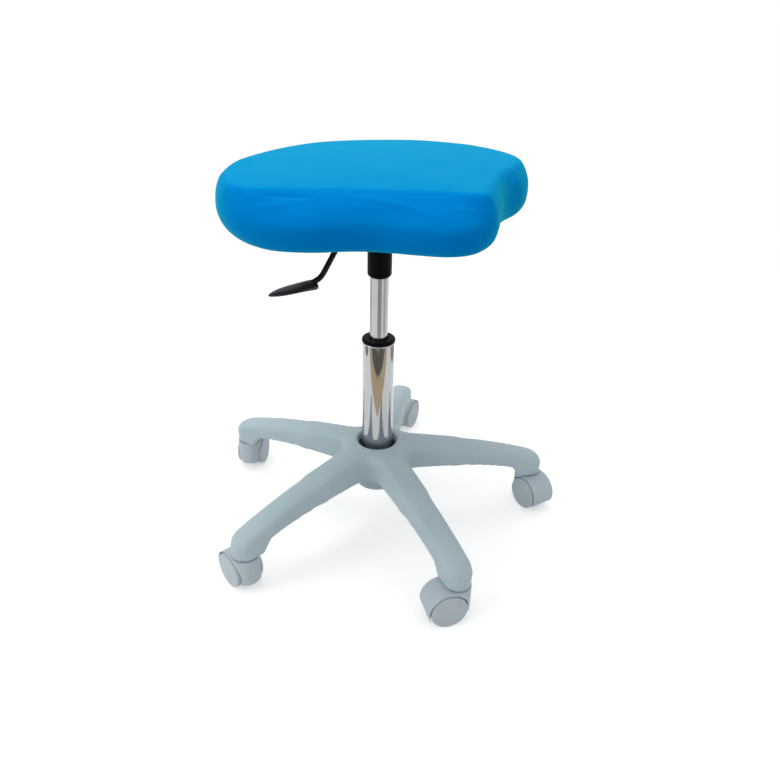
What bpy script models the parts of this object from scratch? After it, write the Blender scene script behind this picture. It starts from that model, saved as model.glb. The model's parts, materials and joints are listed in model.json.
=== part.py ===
"""Saddle stool on five casters, with a gas lift and a waisted saddle seat.

The origin is the point on the floor under the column's axis. +Z is up.
Sizes are real sizes in millimetres times MM, so the model is in metres.
"""
import math

import bmesh
import bpy
from mathutils import Matrix, Vector

MM = 0.001
FULL_TURN = 2 * math.pi

# Gaps and cuts
FIT = 0.3 * MM
OVERRUN = 2 * MM
MERGE = 0.001 * MM

# Angles between faces: shaded as an edge beyond the first, bevelled beyond the second
SHADING_ANGLE_DEG = 35
BEVEL_ANGLE_DEG = 60

# Twin-wheel casters
WHEEL_DIAMETER = 55 * MM
WHEEL_WIDTH = 14 * MM
WHEEL_EDGE = 1.6 * MM
WHEEL_DISH = 0.4 * MM
WHEEL_SEGMENTS = 24
WHEEL_SIDE_GAP = 1 * MM
AXLE_DIAMETER = 6 * MM
AXLE_SEGMENTS = 12
AXLE_ENGAGEMENT = 10 * MM
CASTER_TRAIL = 17 * MM
HOOD_WEB = 16 * MM
HOOD_WIDTH = 42 * MM
HOOD_WALL = 2.2 * MM
HOOD_WHEEL_GAP = 1.3 * MM
HOOD_GROUND_GAP = 16 * MM
HOOD_EDGE = 1 * MM
HOOD_ARC_STEPS = 12
HOOD_NOSE_STEPS = 12
BAY_SEGMENTS = 36
STEM_DIAMETER = 11 * MM
STEM_ROOT_DIAMETER = 9 * MM
STEM_COLLAR_DIAMETER = 17 * MM
STEM_COLLAR_HEIGHT = 1.5 * MM
STEM_HEIGHT = 21 * MM
STEM_ROOT_DEPTH = 22 * MM
STEM_TIP = 1 * MM
STEM_SEGMENTS = 16
CASTER_YAWS_DEG = (-58, 65, 83, 132, 197)

# Five-arm base
ARM_COUNT = 5
ARM_TURN_DEG = 9
STEM_CIRCLE_RADIUS = 269 * MM
ARM_ROOT_WIDTH = 47 * MM
ARM_END_WIDTH = 42 * MM
ARM_STEP_RISE = 1.6 * MM
ARM_END_TOP = 100 * MM
ARM_ROOT_UNDERSIDE = 96 * MM
ARM_EDGE = 12 * MM
ARM_CROWN = 1.2 * MM
ARM_DRAFT = 0.8 * MM
CROTCH_RADIUS = 22 * MM
SOCKET_DEPTH = 24 * MM
POCKET_WALL = 4 * MM
POCKET_ROOF = 4.5 * MM
HUB_TOP = 146 * MM
HUB_BOTTOM = 64 * MM
HUB_RECESS_RADIUS = 32 * MM
HUB_RECESS_DEPTH = 12 * MM
HUB_BOSS_RADIUS = 35 * MM
HUB_RIM = 1.5 * MM
HUB_RING_WALL = 3 * MM
HUB_RING_HEIGHT = 36 * MM
ARC_STEPS = 3
TIP_STEPS = 6
EDGE_STEPS = 3
CORNER_STEPS = 3

# Places along an arm, as shares of the stem circle's radius, with the height
# there as a share of the fall from the hub's top to the arm's end
ARM_TOP_SHARES = (
    (0.10, 1.00), (0.14, 0.99), (0.22, 0.94), (0.30, 0.87), (0.48, 0.70),
    (0.65, 0.54), (0.85, 0.26), (1.00, 0.00), (1.10, -0.24),
)
# The same for the underside, from the arm's root down to its end
ARM_UNDERSIDE_SHARES = (
    (0.10, 1.00), (0.30, 1.00), (0.50, 0.95), (0.68, 0.83), (0.80, 0.69),
    (0.87, 0.58), (0.92, 0.00), (1.20, 0.00),
)
ARM_STATION_SHARES = (0.34, 0.50, 0.56, 0.68, 0.79, 0.87, 0.92, 1.00)
ARM_STEP_SHARES = (0.51, 0.56)
POCKET_SHARES = ((0.26, 0.44), (0.46, 0.63), (0.65, 0.84))

# Gas lift
TUBE_DIAMETER = 50 * MM
TUBE_WALL = 2 * MM
TUBE_FOOT_DIAMETER = 48 * MM
TUBE_FLOOR = 3 * MM
TUBE_FOOT_HEIGHT = 70 * MM
TUBE_SEGMENTS = 32
COLLAR_TOP = 331 * MM
COLLAR_HEIGHT = 5 * MM
COLLAR_DIAMETER = 52 * MM
COLLAR_EDGE = 3 * MM
BUSH_LENGTH = 70 * MM
CYLINDER_DIAMETER = 28 * MM
CYLINDER_WALL = 2.5 * MM
CYLINDER_FOOT_HEIGHT = 212 * MM
CYLINDER_LIP = 1.5 * MM
CYLINDER_LIP_GAP = 2 * MM
CYLINDER_ABOVE_SOCKET = 2 * MM
CYLINDER_TOP_WALL = 12 * MM
CYLINDER_TAPER = 1.2 * MM
CYLINDER_SEGMENTS = 24
ROD_DIAMETER = 10 * MM
ROD_SHOULDER_DIAMETER = 15 * MM
ROD_SHOULDER_HEIGHT = 5 * MM
ROD_SPIGOT_DIAMETER = 6 * MM
ROD_BELOW_FLOOR = 5 * MM
ROD_SEGMENTS = 16
PISTON_HEIGHT = 10 * MM
SEAL_HEIGHT = 10 * MM
LIFT_RISE = 30 * MM
LIFT_STOP_GAP = 3.2 * MM
BEARING_DIAMETER = 26 * MM
BEARING_WASHER = 1.5 * MM
BEARING_BALL = 3.2 * MM
BEARING_BALL_STEPS = 8
BUMPER_DIAMETER = 36 * MM
BUMPER_HEIGHT = 12 * MM
CLIP_DIAMETER = 17 * MM
CLIP_THICKNESS = 1.5 * MM
CLIP_GROOVE = 1 * MM
CLIP_MOUTH = 8 * MM
BUTTON_DIAMETER = 8 * MM
BUTTON_LENGTH = 28 * MM
BUTTON_EDGE = 0.8 * MM
BUTTON_SEGMENTS = 16

# Seat
SEAT_TURN_DEG = -55.7
SEAT_LENGTH = 413 * MM
SEAT_WIDTH = 460 * MM
SEAT_UNDERSIDE = 518 * MM
SEAT_THICKNESS = 74 * MM
SEAT_CROWN = 3.5 * MM
SEAT_WIDEST_RISE = 31 * MM
SEAT_EDGE = 30 * MM
SEAT_SIDE_PULL = 1.5 * MM
SEAT_SHOULDER = 50 * MM
COVER_THICKNESS = 1.5 * MM
COVER_TURN_IN = 56 * MM
BOARD_INSET = 41 * MM
BOARD_THICKNESS = 12 * MM
LINER_INSET = 48 * MM
LINER_THICKNESS = 1 * MM
LINER_MARGIN = 3 * MM
OUTLINE_POINTS = 48
OUTLINE_SPAN_STEPS = 8
EDGE_LEVELS = 4

# Half of the seat's outline from the nose to the back: distance in front of
# the column as a share of the length, half-width as a share of the widest, and
# how far in the top's edge is on the left and on the right, as shares of the
# seat's shoulder
OUTLINE_SHARES = (
    (0.516, 0.000, 0.80, 0.80), (0.490, 0.157, 0.40, 1.10), (0.431, 0.283, 0.30, 1.06),
    (0.350, 0.425, 0.26, 0.88), (0.303, 0.560, 0.34, 0.92), (0.258, 0.735, 0.40, 0.98),
    (0.182, 0.904, 0.34, 0.90), (0.094, 0.981, 0.30, 0.54), (-0.002, 1.000, 0.28, 0.28),
    (-0.099, 0.974, 0.28, 0.26), (-0.189, 0.909, 0.26, 0.26), (-0.332, 0.704, 0.26, 0.26),
    (-0.421, 0.435, 0.28, 0.28), (-0.468, 0.205, 0.28, 0.28), (-0.484, 0.000, 0.28, 0.28),
)
CROWN_RING_SHARES = (0.68, 0.36)
SIDE_UPRIGHT_SHARE = 0.62
SIDE_LEAN_SHARES = (0.45, 0.55)
SQUARE_EDGE_SHARES = (0.04, 0.22)
SQUARE_EDGE_MOST_SHARE = 1.2

# Seat plate with its trough and taper socket
PLATE_LENGTH = 170 * MM
PLATE_WIDTH = 130 * MM
PLATE_THICKNESS = 3 * MM
PLATE_CORNER = 12 * MM
TROUGH_LENGTH = 60 * MM
TROUGH_WIDTH = 80 * MM
TROUGH_DEPTH = 37 * MM
TROUGH_WALL = 3 * MM
TROUGH_EDGE = 4 * MM
SOCKET_DIAMETER = 36 * MM
SOCKET_LENGTH = 59.5 * MM
SOCKET_IN_TROUGH = 9 * MM
SOCKET_EDGE = 5 * MM
SOCKET_LIP = 1 * MM
SOCKET_SEGMENTS = 32
BOLT_FROM_PLATE_END = 14 * MM
BOLT_FROM_PLATE_SIDE = 15 * MM
BOLT_DIAMETER = 6 * MM
BOLT_HEAD_ACROSS_FLATS = 10 * MM
BOLT_HEAD_HEIGHT = 4 * MM
BOLT_SEGMENTS = 12
TNUT_BARREL_DIAMETER = 8 * MM
TNUT_BARREL_LENGTH = 9 * MM
TNUT_FLANGE_DIAMETER = 19 * MM
TNUT_FLANGE_THICKNESS = 1.5 * MM

# Height lever
LEVER_BELOW_SEAT = 14 * MM
LEVER_ROD_DIAMETER = 8 * MM
LEVER_ROD_ROUNDNESS = 2
LEVER_BEND_STEPS = 4
LEVER_PIVOT_REACH = 27 * MM
LEVER_TAIL = 5 * MM
LEVER_SLOT_WIDTH = 12 * MM
LEVER_SLOT_HEIGHT = 14 * MM
LEVER_PIN_DIAMETER = 3 * MM
LEVER_EAR_THICKNESS = 2 * MM
LEVER_EAR_HEIGHT = 20 * MM
LEVER_EAR_LENGTH = 12 * MM
LEVER_BRACKET_BACK = 1.5 * MM
LEVER_BEND_REACH = 58 * MM
LEVER_KNEE_REACH = 103 * MM
LEVER_KNEE_ACROSS = 11 * MM
LEVER_KNEE_DROP = 53 * MM
LEVER_ROD_END_REACH = 127 * MM
GRIP_REACH = 113 * MM
GRIP_ACROSS = 14 * MM
GRIP_BELOW_LEVER = 59.5 * MM
GRIP_LENGTH = 71 * MM
GRIP_WIDTH = 29 * MM
GRIP_THICKNESS = 5.5 * MM
GRIP_NECK_HEIGHT = 12 * MM
GRIP_DROP = 2.5 * MM

# Stations of the paddle: share of its length, half-width share, share of the
# way from the blade's thickness to the neck's, and share of its drop
GRIP_STATION_SHARES = (
    (0.00, 0.76, 0.85, 0.0), (0.04, 0.86, 1.00, 0.0), (0.24, 0.93, 0.70, 0.0),
    (0.42, 1.00, 0.20, 0.1), (0.60, 0.96, 0.00, 0.3), (0.78, 0.76, 0.00, 0.6),
    (0.92, 0.42, -0.20, 0.8), (1.00, 0.12, -0.50, 1.0),
)
GRIP_SECTION_SIDES = 12
SECTION_FULLNESS_SHARE = 0.75

# Colours, roughness and metalness of the materials
FINISHES = {
    "blue_vinyl": ((0.0, 0.30, 0.66), 0.38, 0.0),
    "seat_foam": ((0.86, 0.82, 0.62), 0.95, 0.0),
    "plywood": ((0.62, 0.45, 0.27), 0.80, 0.0),
    "liner_cloth": ((0.03, 0.03, 0.03), 0.95, 0.0),
    "grey_nylon": ((0.33, 0.41, 0.45), 0.50, 0.0),
    "wheel_nylon": ((0.27, 0.31, 0.34), 0.48, 0.0),
    "chrome": ((0.80, 0.80, 0.80), 0.08, 1.0),
    "black_steel": ((0.02, 0.02, 0.022), 0.40, 0.6),
    "black_plastic": ((0.025, 0.027, 0.028), 0.50, 0.0),
    "bare_steel": ((0.55, 0.55, 0.56), 0.32, 1.0),
    "black_rubber": ((0.03, 0.03, 0.03), 0.85, 0.0),
}


def clear_scene():
    """Remove every object that a new file starts with."""
    for item in list(bpy.data.objects):
        bpy.data.objects.remove(item, do_unlink=True)


def finish(name):
    """Return the named material, made the first time it is asked for."""
    if name in bpy.data.materials:
        return bpy.data.materials[name]
    colour, roughness, metallic = FINISHES[name]
    made = bpy.data.materials.new(name)
    made.use_nodes = True
    shader = made.node_tree.nodes["Principled BSDF"]
    shader.inputs["Base Color"].default_value = (*colour, 1.0)
    shader.inputs["Roughness"].default_value = roughness
    shader.inputs["Metallic"].default_value = metallic
    made.diffuse_color = (*colour, 1.0)
    return made


def mesh_from(bm, name):
    """Turn a bmesh into a mesh with merged points, outward faces and soft shading."""
    bmesh.ops.remove_doubles(bm, verts=bm.verts, dist=MERGE)
    bmesh.ops.recalc_face_normals(bm, faces=bm.faces)
    mesh = bpy.data.meshes.new(name)
    bm.to_mesh(mesh)
    bm.free()
    mesh.shade_smooth()
    mesh.set_sharp_from_angle(angle=math.radians(SHADING_ANGLE_DEG))
    return mesh


def place(name, mesh, material, parent=None, location=(0, 0, 0), rotation=(0, 0, 0)):
    """Put a mesh in the scene as one named object."""
    item = bpy.data.objects.new(name, mesh)
    bpy.context.scene.collection.objects.link(item)
    item.location = location
    item.rotation_euler = rotation
    item.parent = parent
    if material and not mesh.materials:
        mesh.materials.append(finish(material))
    return item


def axis_empty(name, location=(0, 0, 0), turn=0, parent=None):
    """Make the empty that carries a moving piece on its joint's axis."""
    item = bpy.data.objects.new(name, None)
    bpy.context.scene.collection.objects.link(item)
    item.location = location
    item.rotation_euler = (0, 0, turn)
    item.parent = parent
    return item


def turned(name, profile, segments):
    """Spin a closed profile of (radius, height) points about Z."""
    bm = bmesh.new()
    points = [bm.verts.new((radius, 0, height)) for radius, height in profile]
    edges = []
    for i, point in enumerate(points):
        following = points[(i + 1) % len(points)]
        on_axis = profile[i][0] == 0 and profile[(i + 1) % len(points)][0] == 0
        if not on_axis:
            edges.append(bm.edges.new((point, following)))
    bmesh.ops.spin(
        bm, geom=points + edges, cent=(0, 0, 0), axis=(0, 0, 1),
        angle=FULL_TURN, steps=segments, use_duplicate=False, use_merge=True,
    )
    return mesh_from(bm, name)


def prism(name, outline, bottom, top):
    """Raise a flat outline of (x, y) points from one height to another."""
    bm = bmesh.new()
    base = bm.faces.new([bm.verts.new((x, y, bottom)) for x, y in outline])
    raised = bmesh.ops.extrude_face_region(bm, geom=[base])["geom"]
    lifted = [item for item in raised if isinstance(item, bmesh.types.BMVert)]
    bmesh.ops.translate(bm, verts=lifted, vec=(0, 0, top - bottom))
    return mesh_from(bm, name)


def lay_along(mesh, axis):
    """Tip a mesh that stands on Z over by a quarter turn about another axis."""
    mesh.transform(Matrix.Rotation(math.pi / 2, 4, axis))
    return mesh


def tube_profile(inside, outside, bottom, top):
    """Section of a plain ring or tube."""
    return [(inside, bottom), (outside, bottom), (outside, top), (inside, top)]


def circle(radius, segments, centre=(0, 0)):
    """Points of a round outline."""
    return [
        (
            centre[0] + radius * math.cos(FULL_TURN * i / segments),
            centre[1] + radius * math.sin(FULL_TURN * i / segments),
        )
        for i in range(segments)
    ]


def rectangle(length, width, centre=(0, 0)):
    """Points of a rectangle's outline."""
    x, y = centre
    return [
        (x - length / 2, y - width / 2), (x + length / 2, y - width / 2),
        (x + length / 2, y + width / 2), (x - length / 2, y + width / 2),
    ]


def rounded_rectangle(length, width, radius, steps):
    """Points of a rectangle with round corners, counter-clockwise."""
    outline = []
    for quarter, (sx, sy) in enumerate(((1, 1), (-1, 1), (-1, -1), (1, -1))):
        centre = (sx * (length / 2 - radius), sy * (width / 2 - radius))
        for i in range(steps + 1):
            angle = math.pi / 2 * (quarter + i / steps)
            outline.append(
                (centre[0] + radius * math.cos(angle), centre[1] + radius * math.sin(angle))
            )
    return outline


def cutter(name, outline, bottom, top, parent=None):
    """Make a prism that only cuts other objects."""
    return place(name, prism(name, outline, bottom, top), None, parent)


def boolean(item, other, operation):
    """Cut another object from an item, or join it, and hide the other one."""
    other.hide_render = True
    other.display_type = "WIRE"
    step = item.modifiers.new(other.name, "BOOLEAN")
    step.operation = operation
    step.solver = "EXACT"
    step.object = other
    return item


def bevel_edges(item, width, segments):
    """Round the sharp edges of an item."""
    edge = item.modifiers.new("edge", "BEVEL")
    edge.width = width
    edge.segments = segments
    edge.limit_method = "ANGLE"
    edge.angle_limit = math.radians(BEVEL_ANGLE_DEG)


def evaluated_mesh(item, helpers):
    """Return an item's mesh after its modifiers, and remove it with its helpers."""
    bpy.context.view_layer.update()
    graph = bpy.context.evaluated_depsgraph_get()
    mesh = bpy.data.meshes.new_from_object(item.evaluated_get(graph))
    mesh.name = item.name
    for spent in [item, *helpers]:
        bpy.data.objects.remove(spent, do_unlink=True)
    mesh.shade_smooth()
    mesh.set_sharp_from_angle(angle=math.radians(SHADING_ANGLE_DEG))
    return mesh


def table_slope(table, index):
    """Slope of a table of (place, value) shares at one of its rows."""
    low, high = table[max(index - 1, 0)], table[min(index + 1, len(table) - 1)]
    return (high[1] - low[1]) / (high[0] - low[0])


def smooth_value(table, place_share):
    """Read a smooth curve through a table of (place, value) shares."""
    places = [row[0] for row in table]
    values = [row[1] for row in table]
    if place_share <= places[0]:
        return values[0]
    if place_share >= places[-1]:
        return values[-1]
    i = max(k for k in range(len(places) - 1) if places[k] <= place_share)
    span = places[i + 1] - places[i]
    t = (place_share - places[i]) / span
    rise = values[i + 1] - values[i]
    start, end = table_slope(table, i) * span, table_slope(table, i + 1) * span
    bend = (3 * rise - 2 * start - end) * t ** 2 + (start + end - 2 * rise) * t ** 3
    return values[i] + start * t + bend


# Casters


def wheel_mesh():
    """A nylon wheel with a blind bore for the axle, standing on a flat facet."""
    radius = WHEEL_DIAMETER / 2 / math.cos(math.pi / WHEEL_SEGMENTS)
    bore = AXLE_DIAMETER / 2 + FIT
    depth = AXLE_ENGAGEMENT + FIT
    profile = [
        (0, depth), (bore, depth), (bore, 0), (radius - WHEEL_EDGE / 2, 0),
        (radius, WHEEL_EDGE / 2), (radius, WHEEL_WIDTH - WHEEL_EDGE),
        (radius - WHEEL_EDGE, WHEEL_WIDTH), (0, WHEEL_WIDTH + WHEEL_DISH),
    ]
    mesh = turned("caster_wheel", profile, WHEEL_SEGMENTS)
    mesh.transform(Matrix.Rotation(math.pi / WHEEL_SEGMENTS, 4, "Z"))
    mesh.transform(Matrix.Rotation(-math.pi / 2, 4, "X"))
    return mesh


def hood_outline():
    """Side view of the hood: round over the wheels, flat under the arm."""
    axle_height = WHEEL_DIAMETER / 2
    radius = axle_height + HOOD_WHEEL_GAP + HOOD_WALL
    low = math.asin((HOOD_GROUND_GAP - axle_height) / radius)
    outline = []
    for i in range(HOOD_ARC_STEPS + 1):
        angle = low + (math.pi / 2 - low) * i / HOOD_ARC_STEPS
        outline.append(
            (CASTER_TRAIL + radius * math.cos(angle), axle_height + radius * math.sin(angle))
        )
    front = -HOOD_WIDTH
    outline.append((front, axle_height + radius))
    outline.append((front, HOOD_GROUND_GAP))
    return outline


def hood_plan():
    """The hood seen from above: a half round about the stem, then straight sides."""
    half = HOOD_WIDTH / 2
    back = CASTER_TRAIL + WHEEL_DIAMETER
    nose = []
    for i in range(HOOD_NOSE_STEPS + 1):
        angle = math.pi * (1 / 2 + i / HOOD_NOSE_STEPS)
        nose.append((half * math.cos(angle), half * math.sin(angle)))
    return [(back, -half), (back, half), *nose]


def hood_top():
    """Height of the hood's flat top, under the arm's end."""
    return WHEEL_DIAMETER + HOOD_WHEEL_GAP + HOOD_WALL


def wheel_bay(side):
    """Cutter for the space that one wheel turns in."""
    axle_height = WHEEL_DIAMETER / 2
    near, far = sorted((side * HOOD_WEB / 2, side * (HOOD_WIDTH / 2 + OVERRUN)))
    bay = cutter("bay", circle(axle_height + HOOD_WHEEL_GAP, BAY_SEGMENTS), near, far)
    lay_along(bay.data, "X")
    bay.location = (CASTER_TRAIL, 0, axle_height)
    return bay


def axle_bore():
    """Cutter for the axle's bore through the web."""
    outline = circle(AXLE_DIAMETER / 2 + FIT, AXLE_SEGMENTS)
    bore = cutter("axle_bore", outline, -HOOD_WIDTH / 2, HOOD_WIDTH / 2)
    lay_along(bore.data, "X")
    bore.location = (CASTER_TRAIL, 0, WHEEL_DIAMETER / 2)
    return bore


def stem_bore():
    """Cutter for the blind bore that the stem is pressed into."""
    outline = circle(STEM_ROOT_DIAMETER / 2 + FIT, STEM_SEGMENTS)
    floor = hood_top() - STEM_ROOT_DEPTH - FIT
    return cutter("stem_bore", outline, floor, hood_top() + OVERRUN)


def hood_mesh():
    """The caster's moulded body: a thick web with a hood round both wheels."""
    side_view = prism("hood", hood_outline(), -HOOD_WIDTH / 2, HOOD_WIDTH / 2)
    body = place("hood", lay_along(side_view, "X"), "grey_nylon")
    plan = cutter("plan", hood_plan(), HOOD_GROUND_GAP - OVERRUN, hood_top() + OVERRUN)
    boolean(body, plan, "INTERSECT")
    bevel_edges(body, HOOD_EDGE, 1)
    cuts = [wheel_bay(-1), wheel_bay(1), axle_bore(), stem_bore()]
    for cut in cuts:
        boolean(body, cut, "DIFFERENCE")
    return evaluated_mesh(body, [plan, *cuts])


def stem_mesh():
    """The steel stem: a root pressed in the hood, a collar and a pin for the arm."""
    top = hood_top()
    root, pin, collar = STEM_ROOT_DIAMETER / 2, STEM_DIAMETER / 2, STEM_COLLAR_DIAMETER / 2
    profile = [
        (0, top - STEM_ROOT_DEPTH), (root, top - STEM_ROOT_DEPTH), (root, top + FIT),
        (collar, top + FIT), (collar, top + FIT + STEM_COLLAR_HEIGHT),
        (pin, top + FIT + STEM_COLLAR_HEIGHT), (pin, top + STEM_HEIGHT - STEM_TIP),
        (pin - STEM_TIP, top + STEM_HEIGHT), (0, top + STEM_HEIGHT),
    ]
    return turned("caster_stem", profile, STEM_SEGMENTS)


def axle_mesh():
    """The axle rod through the web and into both wheels."""
    reach = HOOD_WEB / 2 + WHEEL_SIDE_GAP + AXLE_ENGAGEMENT
    mesh = prism("caster_axle", circle(AXLE_DIAMETER / 2, AXLE_SEGMENTS), -reach, reach)
    return lay_along(mesh, "X")


def arm_turn(index):
    """Direction of one arm, seen from above."""
    return math.radians(ARM_TURN_DEG) + FULL_TURN * index / ARM_COUNT


def add_casters():
    """Place a swivelling twin-wheel caster under the end of each arm."""
    hood, stem, axle, wheel = hood_mesh(), stem_mesh(), axle_mesh(), wheel_mesh()
    for index in range(ARM_COUNT):
        number = index + 1
        turn = arm_turn(index)
        spot = (STEM_CIRCLE_RADIUS * math.cos(turn), STEM_CIRCLE_RADIUS * math.sin(turn), 0)
        yaw = math.radians(CASTER_YAWS_DEG[index])
        swivel = axis_empty(f"swivel_axis_{number}", spot, yaw)
        place(f"caster_hood_{number}", hood, "grey_nylon", swivel)
        place(f"caster_stem_{number}", stem, "bare_steel", swivel)
        centre = (CASTER_TRAIL, 0, WHEEL_DIAMETER / 2)
        place(f"caster_axle_{number}", axle, "bare_steel", swivel, centre)
        side = HOOD_WEB / 2 + WHEEL_SIDE_GAP
        left, right = (centre[0], side, centre[2]), (centre[0], -side, centre[2])
        about = (0, 0, math.pi)
        place(f"caster_wheel_left_{number}", wheel, "wheel_nylon", swivel, left)
        place(f"caster_wheel_right_{number}", wheel, "wheel_nylon", swivel, right, about)


# Base


def arm_end_underside():
    """Height of the arm's end, just above the caster's stem collar."""
    return hood_top() + 2 * FIT + STEM_COLLAR_HEIGHT


def top_height(radius):
    """Height of the base's top surface at a distance from the column."""
    share = smooth_value(ARM_TOP_SHARES, radius / STEM_CIRCLE_RADIUS)
    return ARM_END_TOP + share * (HUB_TOP - ARM_END_TOP)


def underside_height(radius):
    """Height of the base's lower edge at a distance from the column."""
    share = max(smooth_value(ARM_UNDERSIDE_SHARES, radius / STEM_CIRCLE_RADIUS), 0)
    end = arm_end_underside()
    return end + share * (ARM_ROOT_UNDERSIDE - end)


def crowned_height(x, y):
    """Height of the star's top over a place, past the shallow step at mid-arm."""
    reach = math.hypot(x, y)
    return top_height(reach) - ARM_STEP_RISE * step_share(reach)


def lower_edge_height(x, y):
    """Height of the star's lower edge over a place."""
    return underside_height(math.hypot(x, y))


def step_share(reach):
    """How far the shallow step at mid-arm has fallen, from 0 to 1."""
    first, last = (share * STEM_CIRCLE_RADIUS for share in ARM_STEP_SHARES)
    t = min(max((reach - first) / (last - first), 0), 1)
    return t * t * (3 - 2 * t)


def arm_half_width(reach):
    """Half-width of an arm: full at the root, stepped in past the middle."""
    root, end = ARM_ROOT_WIDTH / 2, ARM_END_WIDTH / 2
    start = ARM_STEP_SHARES[0] * STEM_CIRCLE_RADIUS
    t = min(max((reach - start) / (STEM_CIRCLE_RADIUS - start), 0), 1)
    narrowed = root + (end - root) * t
    return narrowed - ARM_STEP_RISE * step_share(reach) * (1 - t)


def star_sector(inset):
    """Outline of one arm at an inset, from one valley up to the next one."""
    valley = math.pi / ARM_COUNT
    reach = (ARM_ROOT_WIDTH / 2 + CROTCH_RADIUS) / math.sin(valley)
    centre = Vector((reach * math.cos(valley), -reach * math.sin(valley)))
    lower = []
    for i in range(ARC_STEPS + 1):
        angle = math.pi - valley - (math.pi / 2 - valley) * i / ARC_STEPS
        arc = Vector((math.cos(angle), math.sin(angle))) * (CROTCH_RADIUS + inset)
        lower.append(tuple(centre + arc))
    for share in ARM_STATION_SHARES:
        place_along = share * STEM_CIRCLE_RADIUS
        lower.append((place_along, inset - arm_half_width(place_along)))
    tip = []
    radius = ARM_END_WIDTH / 2 - inset
    for i in range(1, TIP_STEPS):
        angle = math.pi * (i / TIP_STEPS - 1 / 2)
        tip.append((STEM_CIRCLE_RADIUS + radius * math.cos(angle), radius * math.sin(angle)))
    upper = [(x, -y) for x, y in reversed(lower[1:])]
    return lower + tip + upper


def star_ring(bm, inset, height, drop):
    """Points of the whole star at an inset and a drop below a height worked out at each."""
    ring = []
    for index in range(ARM_COUNT):
        turn = Matrix.Rotation(arm_turn(index), 3, "Z")
        for x, y in star_sector(inset):
            ring.append(bm.verts.new(turn @ Vector((x, y, height(x, y) - drop))))
    return ring


def bridge_rings(bm, first, second):
    """Join two rings of as many points with quads."""
    count = len(first)
    for i in range(count):
        j = (i + 1) % count
        bm.faces.new((first[i], first[j], second[j], second[i]))


def cap_star(bm, ring, height, crown, hub_ring_radius):
    """Close a star ring over its arms, and return the points round the hub."""
    sector = len(ring) // ARM_COUNT
    tangent = ARC_STEPS
    stations = len(ARM_STATION_SHARES)
    circle_points = []
    hub_chain = []
    for index in range(ARM_COUNT):
        turn = Matrix.Rotation(arm_turn(index), 3, "Z")
        first = index * sector
        places = [star_sector(0)[tangent][0]]
        places += [share * STEM_CIRCLE_RADIUS for share in ARM_STATION_SHARES]
        middle = [
            bm.verts.new(turn @ Vector((x, 0, height(x, 0) + crown))) for x in places
        ]
        for j in range(stations):
            low, high = first + tangent + j, first + sector - ARC_STEPS - j
            bm.faces.new((ring[low], ring[low + 1], middle[j + 1], middle[j]))
            bm.faces.new((middle[j], middle[j + 1], ring[high - 1], ring[high % len(ring)]))
        start = first + tangent + stations
        for i in range(TIP_STEPS):
            bm.faces.new((ring[start + i], ring[start + i + 1], middle[-1]))
        hub_chain += ring[first:first + tangent + 1] + [middle[0]]
        hub_chain += ring[first + sector - ARC_STEPS:first + sector]
    for vert in hub_chain:
        angle = math.atan2(vert.co.y, vert.co.x)
        flat = Vector((hub_ring_radius * math.cos(angle), hub_ring_radius * math.sin(angle), 0))
        circle_points.append(flat)
    between = []
    for vert, flat in zip(hub_chain, circle_points):
        spot = (Vector((vert.co.x, vert.co.y, 0)) + flat) / 2
        between.append(bm.verts.new((spot.x, spot.y, height(spot.length, 0) + crown)))
    bridge_rings(bm, hub_chain, between)
    inner = [bm.verts.new((p.x, p.y, height(hub_ring_radius, 0) + crown)) for p in circle_points]
    bridge_rings(bm, between, inner)
    return inner


def ring_at(bm, ring, radius, height):
    """Copy a round ring of points to another radius and height."""
    made = []
    for vert in ring:
        angle = math.atan2(vert.co.y, vert.co.x)
        made.append(bm.verts.new((radius * math.cos(angle), radius * math.sin(angle), height)))
    return made


def hub_bore_radius():
    """Radius of the base's bore, round the steel ring."""
    return TUBE_DIAMETER / 2 + HUB_RING_WALL + 2 * FIT


def star_mesh():
    """The moulded star, from the top surface over the walls to the underside."""
    bm = bmesh.new()
    rings = []
    for i in range(EDGE_STEPS + 1):
        angle = math.pi / 2 * (1 - i / EDGE_STEPS)
        inset = ARM_EDGE * (1 - math.cos(angle))
        drop = ARM_EDGE * (1 - math.sin(angle))
        rings.append(star_ring(bm, inset, crowned_height, drop))
    rings.append(star_ring(bm, ARM_DRAFT, lower_edge_height, 0))
    for first, second in zip(rings, rings[1:]):
        bridge_rings(bm, first, second)
    mouth = cap_star(bm, rings[0], crowned_height, ARM_CROWN, HUB_RECESS_RADIUS + HUB_RIM)
    root = cap_star(bm, rings[-1], lower_edge_height, 0, HUB_BOSS_RADIUS)
    floor = HUB_TOP - HUB_RECESS_DEPTH
    inside = [
        ring_at(bm, mouth, HUB_RECESS_RADIUS, HUB_TOP - HUB_RIM / 2),
        ring_at(bm, mouth, HUB_RECESS_RADIUS, floor),
        ring_at(bm, mouth, hub_bore_radius(), floor),
        ring_at(bm, mouth, hub_bore_radius(), HUB_BOTTOM),
        ring_at(bm, mouth, HUB_BOSS_RADIUS, HUB_BOTTOM),
    ]
    chain = [mouth, *inside, root]
    for first, second in zip(chain, chain[1:]):
        bridge_rings(bm, first, second)
    return mesh_from(bm, "base_star")


def pocket_section(bm, turn, x):
    """Six corners across one of the hollows under an arm, with a chamfered roof."""
    half = arm_half_width(x) - POCKET_WALL
    roof = crowned_height(x, 0) - POCKET_ROOF
    foot = arm_end_underside() - OVERRUN
    shoulder = half - (ARM_EDGE - POCKET_ROOF) * math.tan(math.pi / 6)
    spots = (
        (x, -half, foot), (x, half, foot), (x, half, roof - ARM_EDGE / 2),
        (x, shoulder, roof), (x, -shoulder, roof), (x, -half, roof - ARM_EDGE / 2),
    )
    return [bm.verts.new(turn @ Vector(spot)) for spot in spots]


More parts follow.
